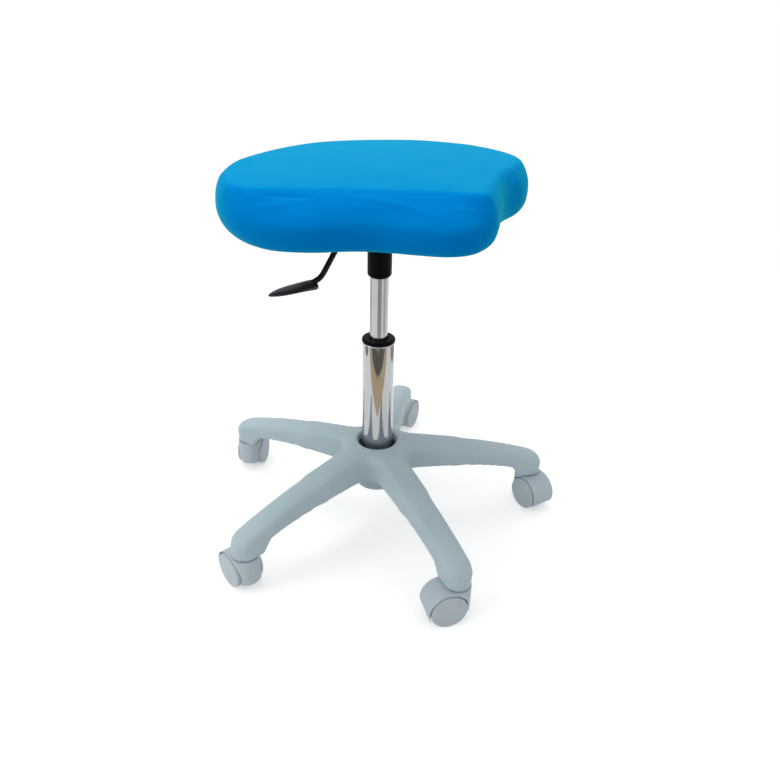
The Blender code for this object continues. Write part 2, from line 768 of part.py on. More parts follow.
def add_stem_socket(bm, turn):
    """Add the round socket for a caster's stem to the cutter."""
    spot = turn @ Vector((STEM_CIRCLE_RADIUS, 0, 0))
    outline = circle(STEM_DIAMETER / 2 + FIT, STEM_SEGMENTS, spot.xy)
    foot, roof = arm_end_underside() - OVERRUN, arm_end_underside() + SOCKET_DEPTH
    low, high = ([bm.verts.new((x, y, z)) for x, y in outline] for z in (foot, roof))
    bm.faces.new(list(reversed(low)))
    bm.faces.new(high)
    bridge_rings(bm, low, high)


def pocket_cutter():
    """All the hollows under the arms and the stem sockets, as one cutter."""
    bm = bmesh.new()
    for index in range(ARM_COUNT):
        turn = Matrix.Rotation(arm_turn(index), 3, "Z")
        for shares in POCKET_SHARES:
            near, far = (pocket_section(bm, turn, share * STEM_CIRCLE_RADIUS) for share in shares)
            bm.faces.new(near)
            bm.faces.new(list(reversed(far)))
            bridge_rings(bm, near, far)
        add_stem_socket(bm, turn)
    return mesh_from(bm, "base_hollows")


def add_base():
    """Add the star with its steel hub ring."""
    star = place("base_star", star_mesh(), "grey_nylon")
    hollows = place("base_hollows", pocket_cutter(), None)
    boolean(star, hollows, "DIFFERENCE")
    inner = TUBE_DIAMETER / 2 + FIT
    outer = inner + HUB_RING_WALL
    top = HUB_TOP - HUB_RECESS_DEPTH - FIT
    profile = tube_profile(inner, outer, top - HUB_RING_HEIGHT, top)
    place("hub_ring", turned("hub_ring", profile, TUBE_SEGMENTS), "bare_steel")


# Gas lift


def tube_top():
    """Top of the outer tube, under the bush's collar."""
    return COLLAR_TOP - COLLAR_HEIGHT - FIT


def trough_bottom():
    """Underside of the seat plate's trough."""
    return SEAT_UNDERSIDE - TROUGH_DEPTH


def socket_top():
    """Top of the taper socket, inside the trough."""
    return trough_bottom() + SOCKET_IN_TROUGH


def socket_bottom():
    """Lower end of the taper socket."""
    return socket_top() - SOCKET_LENGTH


def cylinder_top():
    """Top of the gas cylinder, just out of the socket."""
    return socket_top() + CYLINDER_ABOVE_SOCKET


def lever_height():
    """Height of the lever's pivot, inside the trough."""
    return SEAT_UNDERSIDE - LEVER_BELOW_SEAT


def piston_foot():
    """Underside of the piston, clear of the rod seal when the seat is at its highest."""
    seal_top = CYLINDER_FOOT_HEIGHT + CYLINDER_LIP + FIT + SEAL_HEIGHT
    return seal_top + LIFT_RISE + LIFT_STOP_GAP


def add_outer_tube():
    """Add the chromed outer tube with its floor and the plastic bush in its top."""
    radius, foot_radius = TUBE_DIAMETER / 2, TUBE_FOOT_DIAMETER / 2
    bore = radius - TUBE_WALL
    hole = ROD_DIAMETER / 2 + 2 * FIT
    bottom = TUBE_FOOT_HEIGHT
    taper_top = HUB_TOP - HUB_RECESS_DEPTH
    profile = [
        (radius, tube_top()), (radius, taper_top), (foot_radius, bottom), (hole, bottom),
        (hole, bottom + TUBE_FLOOR), (foot_radius - TUBE_WALL, bottom + TUBE_FLOOR),
        (bore, taper_top), (bore, tube_top()),
    ]
    place("column_tube", turned("column_tube", profile, TUBE_SEGMENTS), "chrome")
    guide = CYLINDER_DIAMETER / 2 + FIT
    sleeve = bore - FIT
    collar = COLLAR_DIAMETER / 2
    collar_bottom = COLLAR_TOP - COLLAR_HEIGHT
    profile = [
        (guide, COLLAR_TOP), (guide, collar_bottom - BUSH_LENGTH),
        (sleeve, collar_bottom - BUSH_LENGTH), (sleeve, collar_bottom),
        (collar, collar_bottom), (collar, COLLAR_TOP - COLLAR_EDGE),
        (collar - COLLAR_EDGE / 2, COLLAR_TOP - COLLAR_EDGE / 2 * (2 - math.sqrt(3))),
        (collar - COLLAR_EDGE, COLLAR_TOP),
    ]
    bush = turned("guide_bush", list(reversed(profile)), TUBE_SEGMENTS)
    place("guide_bush", bush, "black_plastic")


def bearing_levels():
    """Undersides of the thrust bearing's lower washer, balls, upper washer and bumper."""
    lower = TUBE_FOOT_HEIGHT + TUBE_FLOOR + FIT
    balls = lower + BEARING_WASHER + FIT
    upper = balls + BEARING_BALL + FIT
    bumper = upper + BEARING_WASHER + FIT
    return lower, balls, upper, bumper


def add_round(name, profile, segments, material):
    """Add a part of the base that is spun about the column's axis."""
    return place(name, turned(name, profile, segments), material)


def add_thrust_bearing():
    """Add the washers, the balls, the bumper and the clip round the rod's foot."""
    lower, balls, upper, bumper = bearing_levels()
    hole, rim = ROD_DIAMETER / 2 + FIT, BEARING_DIAMETER / 2
    for name, level in (("bearing_lower_washer", lower), ("bearing_upper_washer", upper)):
        profile = tube_profile(hole, rim, level, level + BEARING_WASHER)
        add_round(name, profile, ROD_SEGMENTS, "bare_steel")
    ball = BEARING_BALL / 2
    track = (hole + rim) / 2
    profile = [
        (
            track + ball * math.cos(FULL_TURN * i / BEARING_BALL_STEPS),
            balls + ball - ball * math.sin(FULL_TURN * i / BEARING_BALL_STEPS),
        )
        for i in range(BEARING_BALL_STEPS)
    ]
    add_round("bearing_ball_ring", profile, ROD_SEGMENTS, "bare_steel")
    inside = ROD_SHOULDER_DIAMETER / 2 + FIT
    profile = tube_profile(inside, BUMPER_DIAMETER / 2, bumper, bumper + BUMPER_HEIGHT)
    add_round("rod_bumper", profile, ROD_SEGMENTS, "black_rubber")
    add_clip()


def clip_level():
    """Underside of the clip that holds the rod's foot."""
    return TUBE_FOOT_HEIGHT - FIT - CLIP_THICKNESS


def add_clip():
    """Add the open clip in the rod's groove, under the tube's floor."""
    inside, outside = ROD_DIAMETER / 2 - CLIP_GROOVE + FIT, CLIP_DIAMETER / 2
    bottom, top = clip_level(), clip_level() + CLIP_THICKNESS
    profile = tube_profile(inside, outside, bottom, top)
    clip = add_round("rod_clip", profile, ROD_SEGMENTS, "bare_steel")
    mouth = rectangle(CLIP_DIAMETER, CLIP_MOUTH, (outside, 0))
    boolean(clip, cutter("clip_mouth", mouth, bottom - OVERRUN, top + OVERRUN), "DIFFERENCE")


def add_piston_rod():
    """Add the rod, which turns on the thrust bearing, and the piston on its top."""
    shoulder = bearing_levels()[3]
    radius, collar = ROD_DIAMETER / 2, ROD_SHOULDER_DIAMETER / 2
    spigot = ROD_SPIGOT_DIAMETER / 2
    foot = clip_level() - ROD_BELOW_FLOOR / 2
    groove_low, groove_high = clip_level() - FIT, clip_level() + CLIP_THICKNESS + FIT
    top = piston_foot() + PISTON_HEIGHT
    profile = [
        (0, foot), (radius, foot), (radius, groove_low), (radius - CLIP_GROOVE, groove_low),
        (radius - CLIP_GROOVE, groove_high), (radius, groove_high), (radius, shoulder),
        (collar, shoulder), (collar, shoulder + ROD_SHOULDER_HEIGHT),
        (radius, shoulder + ROD_SHOULDER_HEIGHT), (radius, piston_foot() - FIT),
        (spigot, piston_foot() - FIT), (spigot, top), (0, top),
    ]
    add_round("piston_rod", profile, ROD_SEGMENTS, "bare_steel")
    rim = CYLINDER_DIAMETER / 2 - CYLINDER_WALL - FIT
    profile = tube_profile(spigot + FIT, rim, piston_foot(), top)
    add_round("piston", profile, CYLINDER_SEGMENTS, "black_plastic")


def cylinder_radius(height):
    """Outer radius of the inner cylinder: it tapers inside the socket."""
    radius = CYLINDER_DIAMETER / 2
    bottom = socket_bottom()
    share = min(max((height - bottom) / (cylinder_top() - bottom), 0), 1)
    return radius - CYLINDER_TAPER * share


def add_gas_cylinder():
    """Add the chromed inner cylinder, its rod seal and the release button."""
    bore = CYLINDER_DIAMETER / 2 - CYLINDER_WALL
    lip = ROD_DIAMETER / 2 + CYLINDER_LIP_GAP
    foot, top = CYLINDER_FOOT_HEIGHT, cylinder_top()
    ceiling = top - CYLINDER_TOP_WALL
    pin = BUTTON_DIAMETER / 2 + FIT
    profile = [
        (lip, foot), (cylinder_radius(foot), foot), (cylinder_radius(foot), socket_bottom()),
        (cylinder_radius(top), top), (pin, top), (pin, ceiling),
        (bore, ceiling), (bore, foot + CYLINDER_LIP), (lip, foot + CYLINDER_LIP),
    ]
    add_round("gas_cylinder", profile, CYLINDER_SEGMENTS, "chrome")
    bottom = foot + CYLINDER_LIP + FIT
    profile = tube_profile(ROD_DIAMETER / 2 + FIT, bore - FIT, bottom, bottom + SEAL_HEIGHT)
    add_round("rod_seal", profile, ROD_SEGMENTS, "black_rubber")
    add_release_button()


def add_release_button():
    """Add the pin in the cylinder's top that the lever pushes down."""
    radius = BUTTON_DIAMETER / 2
    top = lever_height() - LEVER_ROD_DIAMETER / 2 - FIT
    profile = [
        (0, top - BUTTON_LENGTH), (radius, top - BUTTON_LENGTH),
        (radius, top - BUTTON_EDGE), (radius - BUTTON_EDGE, top), (0, top),
    ]
    add_round("release_button", profile, BUTTON_SEGMENTS, "bare_steel")


# Seat


def outline_corners():
    """Corners of the seat's outline, nose towards +X, each with its shoulder as third value."""
    rows = [(x * SEAT_LENGTH, y * SEAT_WIDTH / 2, left, right) for x, y, left, right in OUTLINE_SHARES]
    left_side = [Vector((x, y, left * SEAT_SHOULDER)) for x, y, left, _ in rows]
    right_side = [Vector((x, -y, right * SEAT_SHOULDER)) for x, y, _, right in rows[1:-1]]
    return left_side + right_side[::-1]


def smooth_outline():
    """Close steps along a smooth curve through the outline's corners."""
    corners = outline_corners()
    count = len(corners)
    dense = []
    for i in range(count):
        a, b, c, d = (corners[(i + k) % count] for k in (-1, 0, 1, 2))
        for step in range(OUTLINE_SPAN_STEPS):
            t = step / OUTLINE_SPAN_STEPS
            even = 2 * a - 5 * b + 4 * c - d
            odd = 3 * b - a - 3 * c + d
            dense.append((2 * b + (c - a) * t + even * t ** 2 + odd * t ** 3) / 2)
    return dense


def seat_outline():
    """Evenly spaced places round the seat, each with its outward direction and shoulder."""
    dense = smooth_outline()
    count = len(dense)
    lengths = [(dense[(i + 1) % count].xy - p.xy).length for i, p in enumerate(dense)]
    places, walked, index = [], 0, 0
    for k in range(OUTLINE_POINTS):
        goal = sum(lengths) * k / OUTLINE_POINTS
        while walked + lengths[index] < goal:
            walked += lengths[index]
            index += 1
        t = (goal - walked) / lengths[index]
        places.append(dense[index].lerp(dense[(index + 1) % count], t))
    rows = []
    for k, spot in enumerate(places):
        along = places[(k + 1) % OUTLINE_POINTS] - places[k - 1]
        rows.append((spot.xy, Vector((along.y, -along.x)).normalized(), spot.z))
    return rows


def squareness(spot):
    """How much squarer than round the lower edge is: nothing at the back, most by the nose."""
    turn = math.radians(SEAT_TURN_DEG)
    reach = (spot.x * math.cos(turn) - spot.y * math.sin(turn)) / SEAT_WIDTH
    first, last = SQUARE_EDGE_SHARES
    return SQUARE_EDGE_MOST_SHARE * min(max((reach - first) / (last - first), 0), 1)


def seat_ring(inset):
    """The seat's outline drawn in by an inset."""
    return [spot - outward * inset for spot, outward, _ in seat_outline()]


def shoulder_height():
    """Height of the top's edge, before the crown rises."""
    return SEAT_UNDERSIDE + SEAT_THICKNESS - SEAT_CROWN


def lower_section(square, offset):
    """Inset and height from the flat underside round to the widest level."""
    widest = SEAT_UNDERSIDE + SEAT_WIDEST_RISE
    power = 2 / (2 + square)
    points = []
    for i in range(EDGE_LEVELS + 1):
        angle = math.pi / 2 * i / EDGE_LEVELS
        out, down = math.sin(angle) ** power, max(math.cos(angle), 0) ** power
        inset = SEAT_EDGE - (SEAT_EDGE - SEAT_SIDE_PULL - offset) * out
        points.append((inset, widest - (SEAT_WIDEST_RISE - offset) * down))
    return points


def upper_section(shoulder, offset):
    """Inset and height from the widest level up to the top's edge, an offset inside it."""
    top = shoulder_height()
    start = Vector((SEAT_SIDE_PULL, SEAT_UNDERSIDE + SEAT_WIDEST_RISE))
    least, more = SIDE_LEAN_SHARES
    fall = SIDE_UPRIGHT_SHARE * min(least + more * shoulder / SEAT_SHOULDER, 1) * (top - start.y)
    bend, end = Vector((SEAT_SIDE_PULL, top - fall)), Vector((shoulder, top))
    points = []
    for i in range(1, EDGE_LEVELS + 1):
        t = i / EDGE_LEVELS
        spot = start * (1 - t) ** 2 + bend * (2 * t * (1 - t)) + end * t ** 2
        along = ((bend - start) * (1 - t) + (end - bend) * t).normalized()
        inwards = Vector((along.y, -along.x)) * offset
        if i == EDGE_LEVELS:
            inwards = Vector(((1 - along.x) / along.y * offset, -offset))
        points.append(tuple(spot + inwards))
    return points


def triangle_band(bm, first, second):
    """Join two rings with triangles, so that nested skins are divided alike."""
    count = len(first)
    for i in range(count):
        j = (i + 1) % count
        bm.faces.new((first[i], first[j], second[j]))
        bm.faces.new((first[i], second[j], second[i]))


def add_ring(bm, points, height):
    """Add a level ring of points."""
    return [bm.verts.new((p.x, p.y, height)) for p in points]


def cushion_skin(bm, offset):
    """Build the cushion's sides and crowned top at an offset, and return its lowest ring."""
    columns = []
    for spot, outward, shoulder in seat_outline():
        section = lower_section(squareness(spot), offset) + upper_section(shoulder, offset)
        columns.append(
            [bm.verts.new((*(spot - outward * inset), height)) for inset, height in section]
        )
    rings = [list(ring) for ring in zip(*columns)]
    for first, second in zip(rings, rings[1:]):
        triangle_band(bm, first, second)
    last = rings[-1]
    rim = [vert.co.xy for vert in last]
    top = shoulder_height() - offset
    for share in CROWN_RING_SHARES:
        ring = add_ring(bm, [p * share for p in rim], top + SEAT_CROWN * (1 - share * share))
        triangle_band(bm, last, ring)
        last = ring
    centre = bm.verts.new((0, 0, top + SEAT_CROWN))
    for i, vert in enumerate(last):
        bm.faces.new((vert, last[(i + 1) % len(last)], centre))
    return rings[0]


def cover_mesh():
    """The vinyl cover: a skin over the foam, turned in under the board's edge."""
    bm = bmesh.new()
    outside = cushion_skin(bm, 0.0)
    inside = cushion_skin(bm, COVER_THICKNESS)
    low = add_ring(bm, seat_ring(COVER_TURN_IN), SEAT_UNDERSIDE)
    high = add_ring(bm, seat_ring(COVER_TURN_IN), SEAT_UNDERSIDE + COVER_THICKNESS)
    bridge_rings(bm, outside, low)
    bridge_rings(bm, low, high)
    bridge_rings(bm, high, inside)
    return mesh_from(bm, "seat_cover")


def board_bottom():
    """Underside of the seat board, on the cover's turned-in edge."""
    return SEAT_UNDERSIDE + COVER_THICKNESS + FIT


def foam_mesh():
    """The foam pad, with the seat board let into its underside."""
    bm = bmesh.new()
    outside = cushion_skin(bm, COVER_THICKNESS + FIT)
    ceiling = board_bottom() + BOARD_THICKNESS + FIT
    pocket = seat_ring(BOARD_INSET - FIT)
    low = add_ring(bm, pocket, board_bottom())
    high = add_ring(bm, pocket, ceiling)
    bridge_rings(bm, outside, low)
    bridge_rings(bm, low, high)
    centre = bm.verts.new((0, 0, ceiling))
    for i, vert in enumerate(high):
        bm.faces.new((vert, high[(i + 1) % len(high)], centre))
    return mesh_from(bm, "seat_foam")


def bolt_places():
    """Places of the four seat bolts, inside the plate's corners."""
    along = PLATE_LENGTH / 2 - BOLT_FROM_PLATE_END
    across = PLATE_WIDTH / 2 - BOLT_FROM_PLATE_SIDE
    return [(sx * along, sy * across) for sx, sy in ((1, 1), (-1, 1), (-1, -1), (1, -1))]


def add_board(seat):
    """Add the plywood board with its bores for the seat nuts."""
    bottom, top = board_bottom(), board_bottom() + BOARD_THICKNESS
    outline = [tuple(p) for p in seat_ring(BOARD_INSET)]
    board = place("seat_board", prism("seat_board", outline, bottom, top), "plywood", seat)
    shoulder = top - TNUT_FLANGE_THICKNESS - FIT
    for spot in bolt_places():
        bore = circle(TNUT_BARREL_DIAMETER / 2 + FIT, BOLT_SEGMENTS, spot)
        sink = circle(TNUT_FLANGE_DIAMETER / 2 + FIT, STEM_SEGMENTS, spot)
        drilled = cutter("bolt_bore", bore, bottom - OVERRUN, top + OVERRUN, seat)
        sunk = cutter("nut_sink", sink, shoulder, top + OVERRUN, seat)
        boolean(board, drilled, "DIFFERENCE")
        boolean(board, sunk, "DIFFERENCE")


def add_liner(seat):
    """Add the cloth under the board, with a window for the seat plate."""
    outline = [tuple(p) for p in seat_ring(LINER_INSET)]
    top = SEAT_UNDERSIDE - FIT
    bottom = top - LINER_THICKNESS
    liner = place("seat_liner", prism("seat_liner", outline, bottom, top), "liner_cloth", seat)
    window = rectangle(PLATE_LENGTH + 2 * LINER_MARGIN, PLATE_WIDTH + 2 * LINER_MARGIN)
    cut = cutter("liner_window", window, bottom - OVERRUN, top + OVERRUN, seat)
    boolean(liner, cut, "DIFFERENCE")


def add_cushion(seat):
    """Add the cover, the foam, the plywood board and the liner."""
    place("seat_cover", cover_mesh(), "blue_vinyl", seat)
    place("seat_foam", foam_mesh(), "seat_foam", seat)
    add_board(seat)
    add_liner(seat)


def add_fasteners(seat):
    """Add the four seat bolts and the nuts that they screw into."""
    shank, barrel = BOLT_DIAMETER / 2, TNUT_BARREL_DIAMETER / 2
    head = BOLT_HEAD_ACROSS_FLATS / 2 / math.cos(math.pi / 6)
    seat_face = plate_levels()[0] - FIT
    top = board_bottom() + BOARD_THICKNESS - FIT
    bm = bmesh.new()
    low = [bm.verts.new((x, y, seat_face - BOLT_HEAD_HEIGHT)) for x, y in circle(head, 6)]
    high = [bm.verts.new((x, y, seat_face)) for x, y in circle(head, 6)]
    inner = [bm.verts.new((x, y, seat_face)) for x, y in circle(shank, 6)]
    tip = [bm.verts.new((x, y, top)) for x, y in circle(shank, 6)]
    bm.faces.new(list(reversed(low)))
    bm.faces.new(tip)
    for first, second in ((low, high), (high, inner), (inner, tip)):
        bridge_rings(bm, first, second)
    bolt = mesh_from(bm, "seat_bolt")
    bolt.shade_flat()
    flange_top = board_bottom() + BOARD_THICKNESS
    flange_bottom = flange_top - TNUT_FLANGE_THICKNESS
    bore = shank + FIT
    profile = [
        (bore, flange_top), (bore, flange_bottom - TNUT_BARREL_LENGTH),
        (barrel, flange_bottom - TNUT_BARREL_LENGTH), (barrel, flange_bottom),
        (TNUT_FLANGE_DIAMETER / 2, flange_bottom), (TNUT_FLANGE_DIAMETER / 2, flange_top),
    ]
    nut = turned("seat_nut", profile, BOLT_SEGMENTS)
    for number, (x, y) in enumerate(bolt_places(), 1):
        place(f"seat_bolt_{number}", bolt, "bare_steel", seat, (x, y, 0))
        place(f"seat_nut_{number}", nut, "bare_steel", seat, (x, y, 0))


def plate_levels():
    """Underside and top of the seat plate, under the board."""
    top = board_bottom() - FIT
    return top - PLATE_THICKNESS, top


def add_seat_plate(seat):
    """Add the pressed plate with its trough, and the taper socket welded in it."""
    bottom, top = plate_levels()
    outline = rounded_rectangle(PLATE_LENGTH, PLATE_WIDTH, PLATE_CORNER, CORNER_STEPS)
    plate = place("seat_plate", prism("seat_plate", outline, bottom, top), "black_steel", seat)
    outline = rounded_rectangle(TROUGH_LENGTH, TROUGH_WIDTH, PLATE_CORNER, CORNER_STEPS)
    trough = cutter("trough_body", outline, trough_bottom(), (bottom + top) / 2, seat)
    bevel_edges(trough, TROUGH_EDGE, 2)
    boolean(plate, trough, "UNION")
    for cut in plate_cutters(seat):
        boolean(plate, cut, "DIFFERENCE")
    add_socket(seat)


def plate_cutters(seat):
    """Cutters for the trough's hollow, the socket's hole, the bolts' bores and the lever's slot."""
    bottom, top = plate_levels()
    floor = trough_bottom()
    outline = rounded_rectangle(
        TROUGH_LENGTH - 2 * TROUGH_WALL, TROUGH_WIDTH - 2 * TROUGH_WALL,
        PLATE_CORNER - TROUGH_WALL, CORNER_STEPS,
    )
    hollow = cutter("trough_hollow", outline, floor + TROUGH_WALL, top + OVERRUN, seat)
    round_hole = circle(SOCKET_DIAMETER / 2 + FIT, SOCKET_SEGMENTS)
    hole = cutter("socket_hole", round_hole, floor - OVERRUN, floor + TROUGH_WALL + OVERRUN, seat)
    slot_place = (0, TROUGH_WALL / 2 - TROUGH_WIDTH / 2)
    slot = rectangle(LEVER_SLOT_WIDTH, TROUGH_WALL + 2 * OVERRUN, slot_place)
    low = lever_height() - LEVER_SLOT_HEIGHT / 2
    cuts = [hollow, hole, cutter("lever_slot", slot, low, low + LEVER_SLOT_HEIGHT, seat)]
    for spot in bolt_places():
        bore = circle(BOLT_DIAMETER / 2 + FIT, BOLT_SEGMENTS, spot)
        cuts.append(cutter("plate_bore", bore, bottom - OVERRUN, top + OVERRUN, seat))
    return cuts


def add_socket(seat):
    """Add the tube that grips the cylinder's taper."""
    outer, bottom, top = SOCKET_DIAMETER / 2, socket_bottom(), socket_top()
    low, high = cylinder_radius(bottom) + FIT, cylinder_radius(top) + FIT
    profile = [
        (low, bottom), (low + SOCKET_LIP, bottom), (outer - SOCKET_LIP, bottom + SOCKET_EDGE / 2),
        (outer, bottom + SOCKET_EDGE), (outer, top), (high, top),
    ]
    socket = turned("taper_socket", profile, SOCKET_SEGMENTS)
    place("taper_socket", socket, "black_steel", seat)


# Height lever, which reaches out to the sitter's right: -Y of the seat


def partway(start, end, distance):
    """The point at a distance from one point towards another."""
    span = math.dist(start, end)
    return tuple(p + (q - p) * distance / span for p, q in zip(start, end))


def lever_path():
    """Centre line of the lever's rod, from its tail to its end in the paddle."""
    level = lever_height()
    tail = (0, LEVER_TAIL, level)
    bend = (0, -LEVER_BEND_REACH, level)
    knee = (LEVER_KNEE_ACROSS, -LEVER_KNEE_REACH, level - LEVER_KNEE_DROP)
    end = (GRIP_ACROSS, -LEVER_ROD_END_REACH, level - GRIP_BELOW_LEVER)
    points = [tail]
    for before, corner, after in ((tail, bend, knee), (bend, knee, end)):
        start = partway(corner, before, LEVER_ROD_DIAMETER)
        stop = partway(corner, after, LEVER_ROD_DIAMETER)
        for i in range(LEVER_BEND_STEPS + 1):
            t = i / LEVER_BEND_STEPS
            points.append(
                tuple(
                    (1 - t) ** 2 * p + 2 * t * (1 - t) * q + t ** 2 * r
                    for p, q, r in zip(start, corner, stop)
                )
            )
    points.append(end)
    return points


def rod_mesh(name, points, diameter):
    """A round rod along a chain of points."""
    curve = bpy.data.curves.new(name, "CURVE")
    curve.dimensions = "3D"
    curve.bevel_depth = diameter / 2
    curve.bevel_resolution = LEVER_ROD_ROUNDNESS
    curve.use_fill_caps = True
    spline = curve.splines.new("POLY")
    spline.points.add(len(points) - 1)
    for point, spot in zip(spline.points, points):
        point.co = (*spot, 1)
    item = bpy.data.objects.new(name, curve)
    bpy.context.scene.collection.objects.link(item)
    return evaluated_mesh(item, [])


def lever_pivot():
    """Place of the pin that the lever rocks on."""
    return (0, -LEVER_PIVOT_REACH, lever_height())


def cross_bar(name, radius, reach, material, parent, location):
    """Add a round bar that lies along the lever's pin."""
    mesh = prism(name, circle(radius, BOLT_SEGMENTS), -reach, reach)
    return place(name, lay_along(mesh, "Y"), material, parent, location)


def add_lever(seat):
    """Add the lever's rod, its pin and bracket in the trough, and the paddle."""
    axis = axis_empty("lever_axis", lever_pivot(), 0, seat)
    to_axis = tuple(-part for part in lever_pivot())
    rod_form = rod_mesh("lever_rod", lever_path(), LEVER_ROD_DIAMETER)
    rod = place("lever_rod", rod_form, "black_steel", axis, to_axis)
    bore_radius = LEVER_PIN_DIAMETER / 2 + FIT
    bore = cross_bar("pin_bore", bore_radius, LEVER_ROD_DIAMETER, None, axis, (0, 0, 0))
    boolean(rod, bore, "DIFFERENCE")
    place("lever_grip", grip_mesh(), "black_plastic", axis, to_axis)
    add_lever_bracket(seat)


def add_lever_bracket(seat):
    """Add the bracket with two ears and the pin that the lever rocks on."""
    inner = LEVER_ROD_DIAMETER / 2 + 2 * FIT
    outer = inner + LEVER_EAR_THICKNESS
    wall = TROUGH_WIDTH / 2 - TROUGH_WALL - FIT
    back = LEVER_BRACKET_BACK - wall
    front = LEVER_EAR_LENGTH / 2 - LEVER_PIVOT_REACH
    low = lever_height() - LEVER_EAR_HEIGHT / 2
    outline = [
        (-outer, front), (-outer, -wall), (outer, -wall), (outer, front),
        (inner, front), (inner, back), (-inner, back), (-inner, front),
    ]
    form = prism("lever_bracket", outline, low, low + LEVER_EAR_HEIGHT)
    bracket = place("lever_bracket", form, "black_steel", seat)
    drill_radius = LEVER_PIN_DIAMETER / 2 + FIT
    drill = cross_bar("ear_bore", drill_radius, outer + OVERRUN, None, seat, lever_pivot())
    boolean(bracket, drill, "DIFFERENCE")
    middle = (back - wall) / 2
    window = rectangle(2 * inner, LEVER_BRACKET_BACK + 2 * OVERRUN, (0, middle))
    hole_low = lever_height() - LEVER_SLOT_HEIGHT / 2
    hole = cutter("rod_window", window, hole_low, hole_low + LEVER_SLOT_HEIGHT, seat)
    boolean(bracket, hole, "DIFFERENCE")
    pin_radius = LEVER_PIN_DIAMETER / 2
    cross_bar("lever_pin", pin_radius, outer + FIT, "bare_steel", seat, lever_pivot())


def grip_mesh():
    """The plastic paddle: a thick end round the rod that thins to a leaf's blade."""
    bm = bmesh.new()
    rings = []
    for along, wide, thick, fall in GRIP_STATION_SHARES:
        height = lever_height() - GRIP_BELOW_LEVER - fall * GRIP_DROP
        half_width = wide * GRIP_WIDTH / 2
        half_height = (GRIP_THICKNESS + thick * (GRIP_NECK_HEIGHT - GRIP_THICKNESS)) / 2
        ring = []
        for i in range(GRIP_SECTION_SIDES):
            angle = FULL_TURN * i / GRIP_SECTION_SIDES
            x = GRIP_ACROSS + half_width * rounded(math.cos(angle))
            z = height + half_height * rounded(math.sin(angle))
            ring.append(bm.verts.new((x, -GRIP_REACH - along * GRIP_LENGTH, z)))
        rings.append(ring)
    for first, second in zip(rings, rings[1:]):
        bridge_rings(bm, first, second)
    bm.faces.new(rings[0])
    bm.faces.new(rings[-1])
    body = place("grip_body", mesh_from(bm, "grip_body"), "black_plastic")
    before, end = lever_path()[-2:]
    beyond = partway(end, before, -FIT)
    well = rod_mesh("rod_well", [before, beyond], LEVER_ROD_DIAMETER + 2 * FIT)
    cut = place("rod_well", well, None)
    boolean(body, cut, "DIFFERENCE")
    mesh = evaluated_mesh(body, [cut])
    mesh.name = "lever_grip"
    return mesh


def rounded(share):
    """Swell a sine or cosine so that a section is fuller than an ellipse."""
    return math.copysign(abs(share) ** SECTION_FULLNESS_SHARE, share)


def build():
    """Build the whole stool."""
    clear_scene()
    add_base()
    add_casters()
    add_outer_tube()
    add_thrust_bearing()
    add_piston_rod()
    add_gas_cylinder()
    seat = axis_empty("seat_axis", turn=math.radians(SEAT_TURN_DEG))
    add_cushion(seat)
    add_fasteners(seat)
    add_seat_plate(seat)
    add_lever(seat)


build()
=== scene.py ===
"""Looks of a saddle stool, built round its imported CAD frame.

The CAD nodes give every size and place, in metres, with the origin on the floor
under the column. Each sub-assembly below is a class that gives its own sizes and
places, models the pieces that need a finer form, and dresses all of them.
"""
from __future__ import annotations

import json
import logging
import math
from contextlib import contextmanager
from dataclasses import dataclass
from enum import Enum
from typing import Callable, Iterator, Sequence

import bmesh
import bpy
from mathutils import Matrix, Vector
from mathutils.geometry import intersect_point_line

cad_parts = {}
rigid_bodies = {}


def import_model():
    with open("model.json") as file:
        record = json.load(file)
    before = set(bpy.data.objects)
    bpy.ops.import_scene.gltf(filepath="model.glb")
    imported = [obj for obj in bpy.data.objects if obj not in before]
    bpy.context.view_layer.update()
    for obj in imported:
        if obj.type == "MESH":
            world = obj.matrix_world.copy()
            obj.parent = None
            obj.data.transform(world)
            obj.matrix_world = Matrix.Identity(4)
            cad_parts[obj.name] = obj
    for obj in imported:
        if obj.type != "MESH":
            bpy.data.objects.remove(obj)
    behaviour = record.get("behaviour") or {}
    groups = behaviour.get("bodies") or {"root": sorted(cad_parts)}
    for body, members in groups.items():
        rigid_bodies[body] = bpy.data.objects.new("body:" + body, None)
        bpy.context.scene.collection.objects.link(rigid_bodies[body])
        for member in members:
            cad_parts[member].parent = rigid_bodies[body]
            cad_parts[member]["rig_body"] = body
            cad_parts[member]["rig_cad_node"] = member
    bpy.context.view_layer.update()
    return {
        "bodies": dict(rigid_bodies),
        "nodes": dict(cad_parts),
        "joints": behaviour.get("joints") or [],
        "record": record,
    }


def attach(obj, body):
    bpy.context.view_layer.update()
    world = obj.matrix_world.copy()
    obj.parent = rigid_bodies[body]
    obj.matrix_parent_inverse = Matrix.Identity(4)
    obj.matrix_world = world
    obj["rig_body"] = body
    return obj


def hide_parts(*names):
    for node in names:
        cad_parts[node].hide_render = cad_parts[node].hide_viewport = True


LOG = logging.getLogger("stool")
MM = 0.001
ARM_COUNT = 5

Profile = Sequence[tuple[float, float]]
Colour = tuple[float, float, float]


# Modelling helpers


def deselect_all() -> None:
    """Leave edit mode and select nothing."""
    if bpy.context.object is not None and bpy.context.object.mode != "OBJECT":
        bpy.ops.object.mode_set(mode="OBJECT")
    bpy.ops.object.select_all(action="DESELECT")


def make_active(item: bpy.types.Object) -> None:
    """Select one object alone and make it the active one.

    Args:
        item: The object to select.
    """
    deselect_all()
    item.select_set(True)
    bpy.context.view_layer.objects.active = item


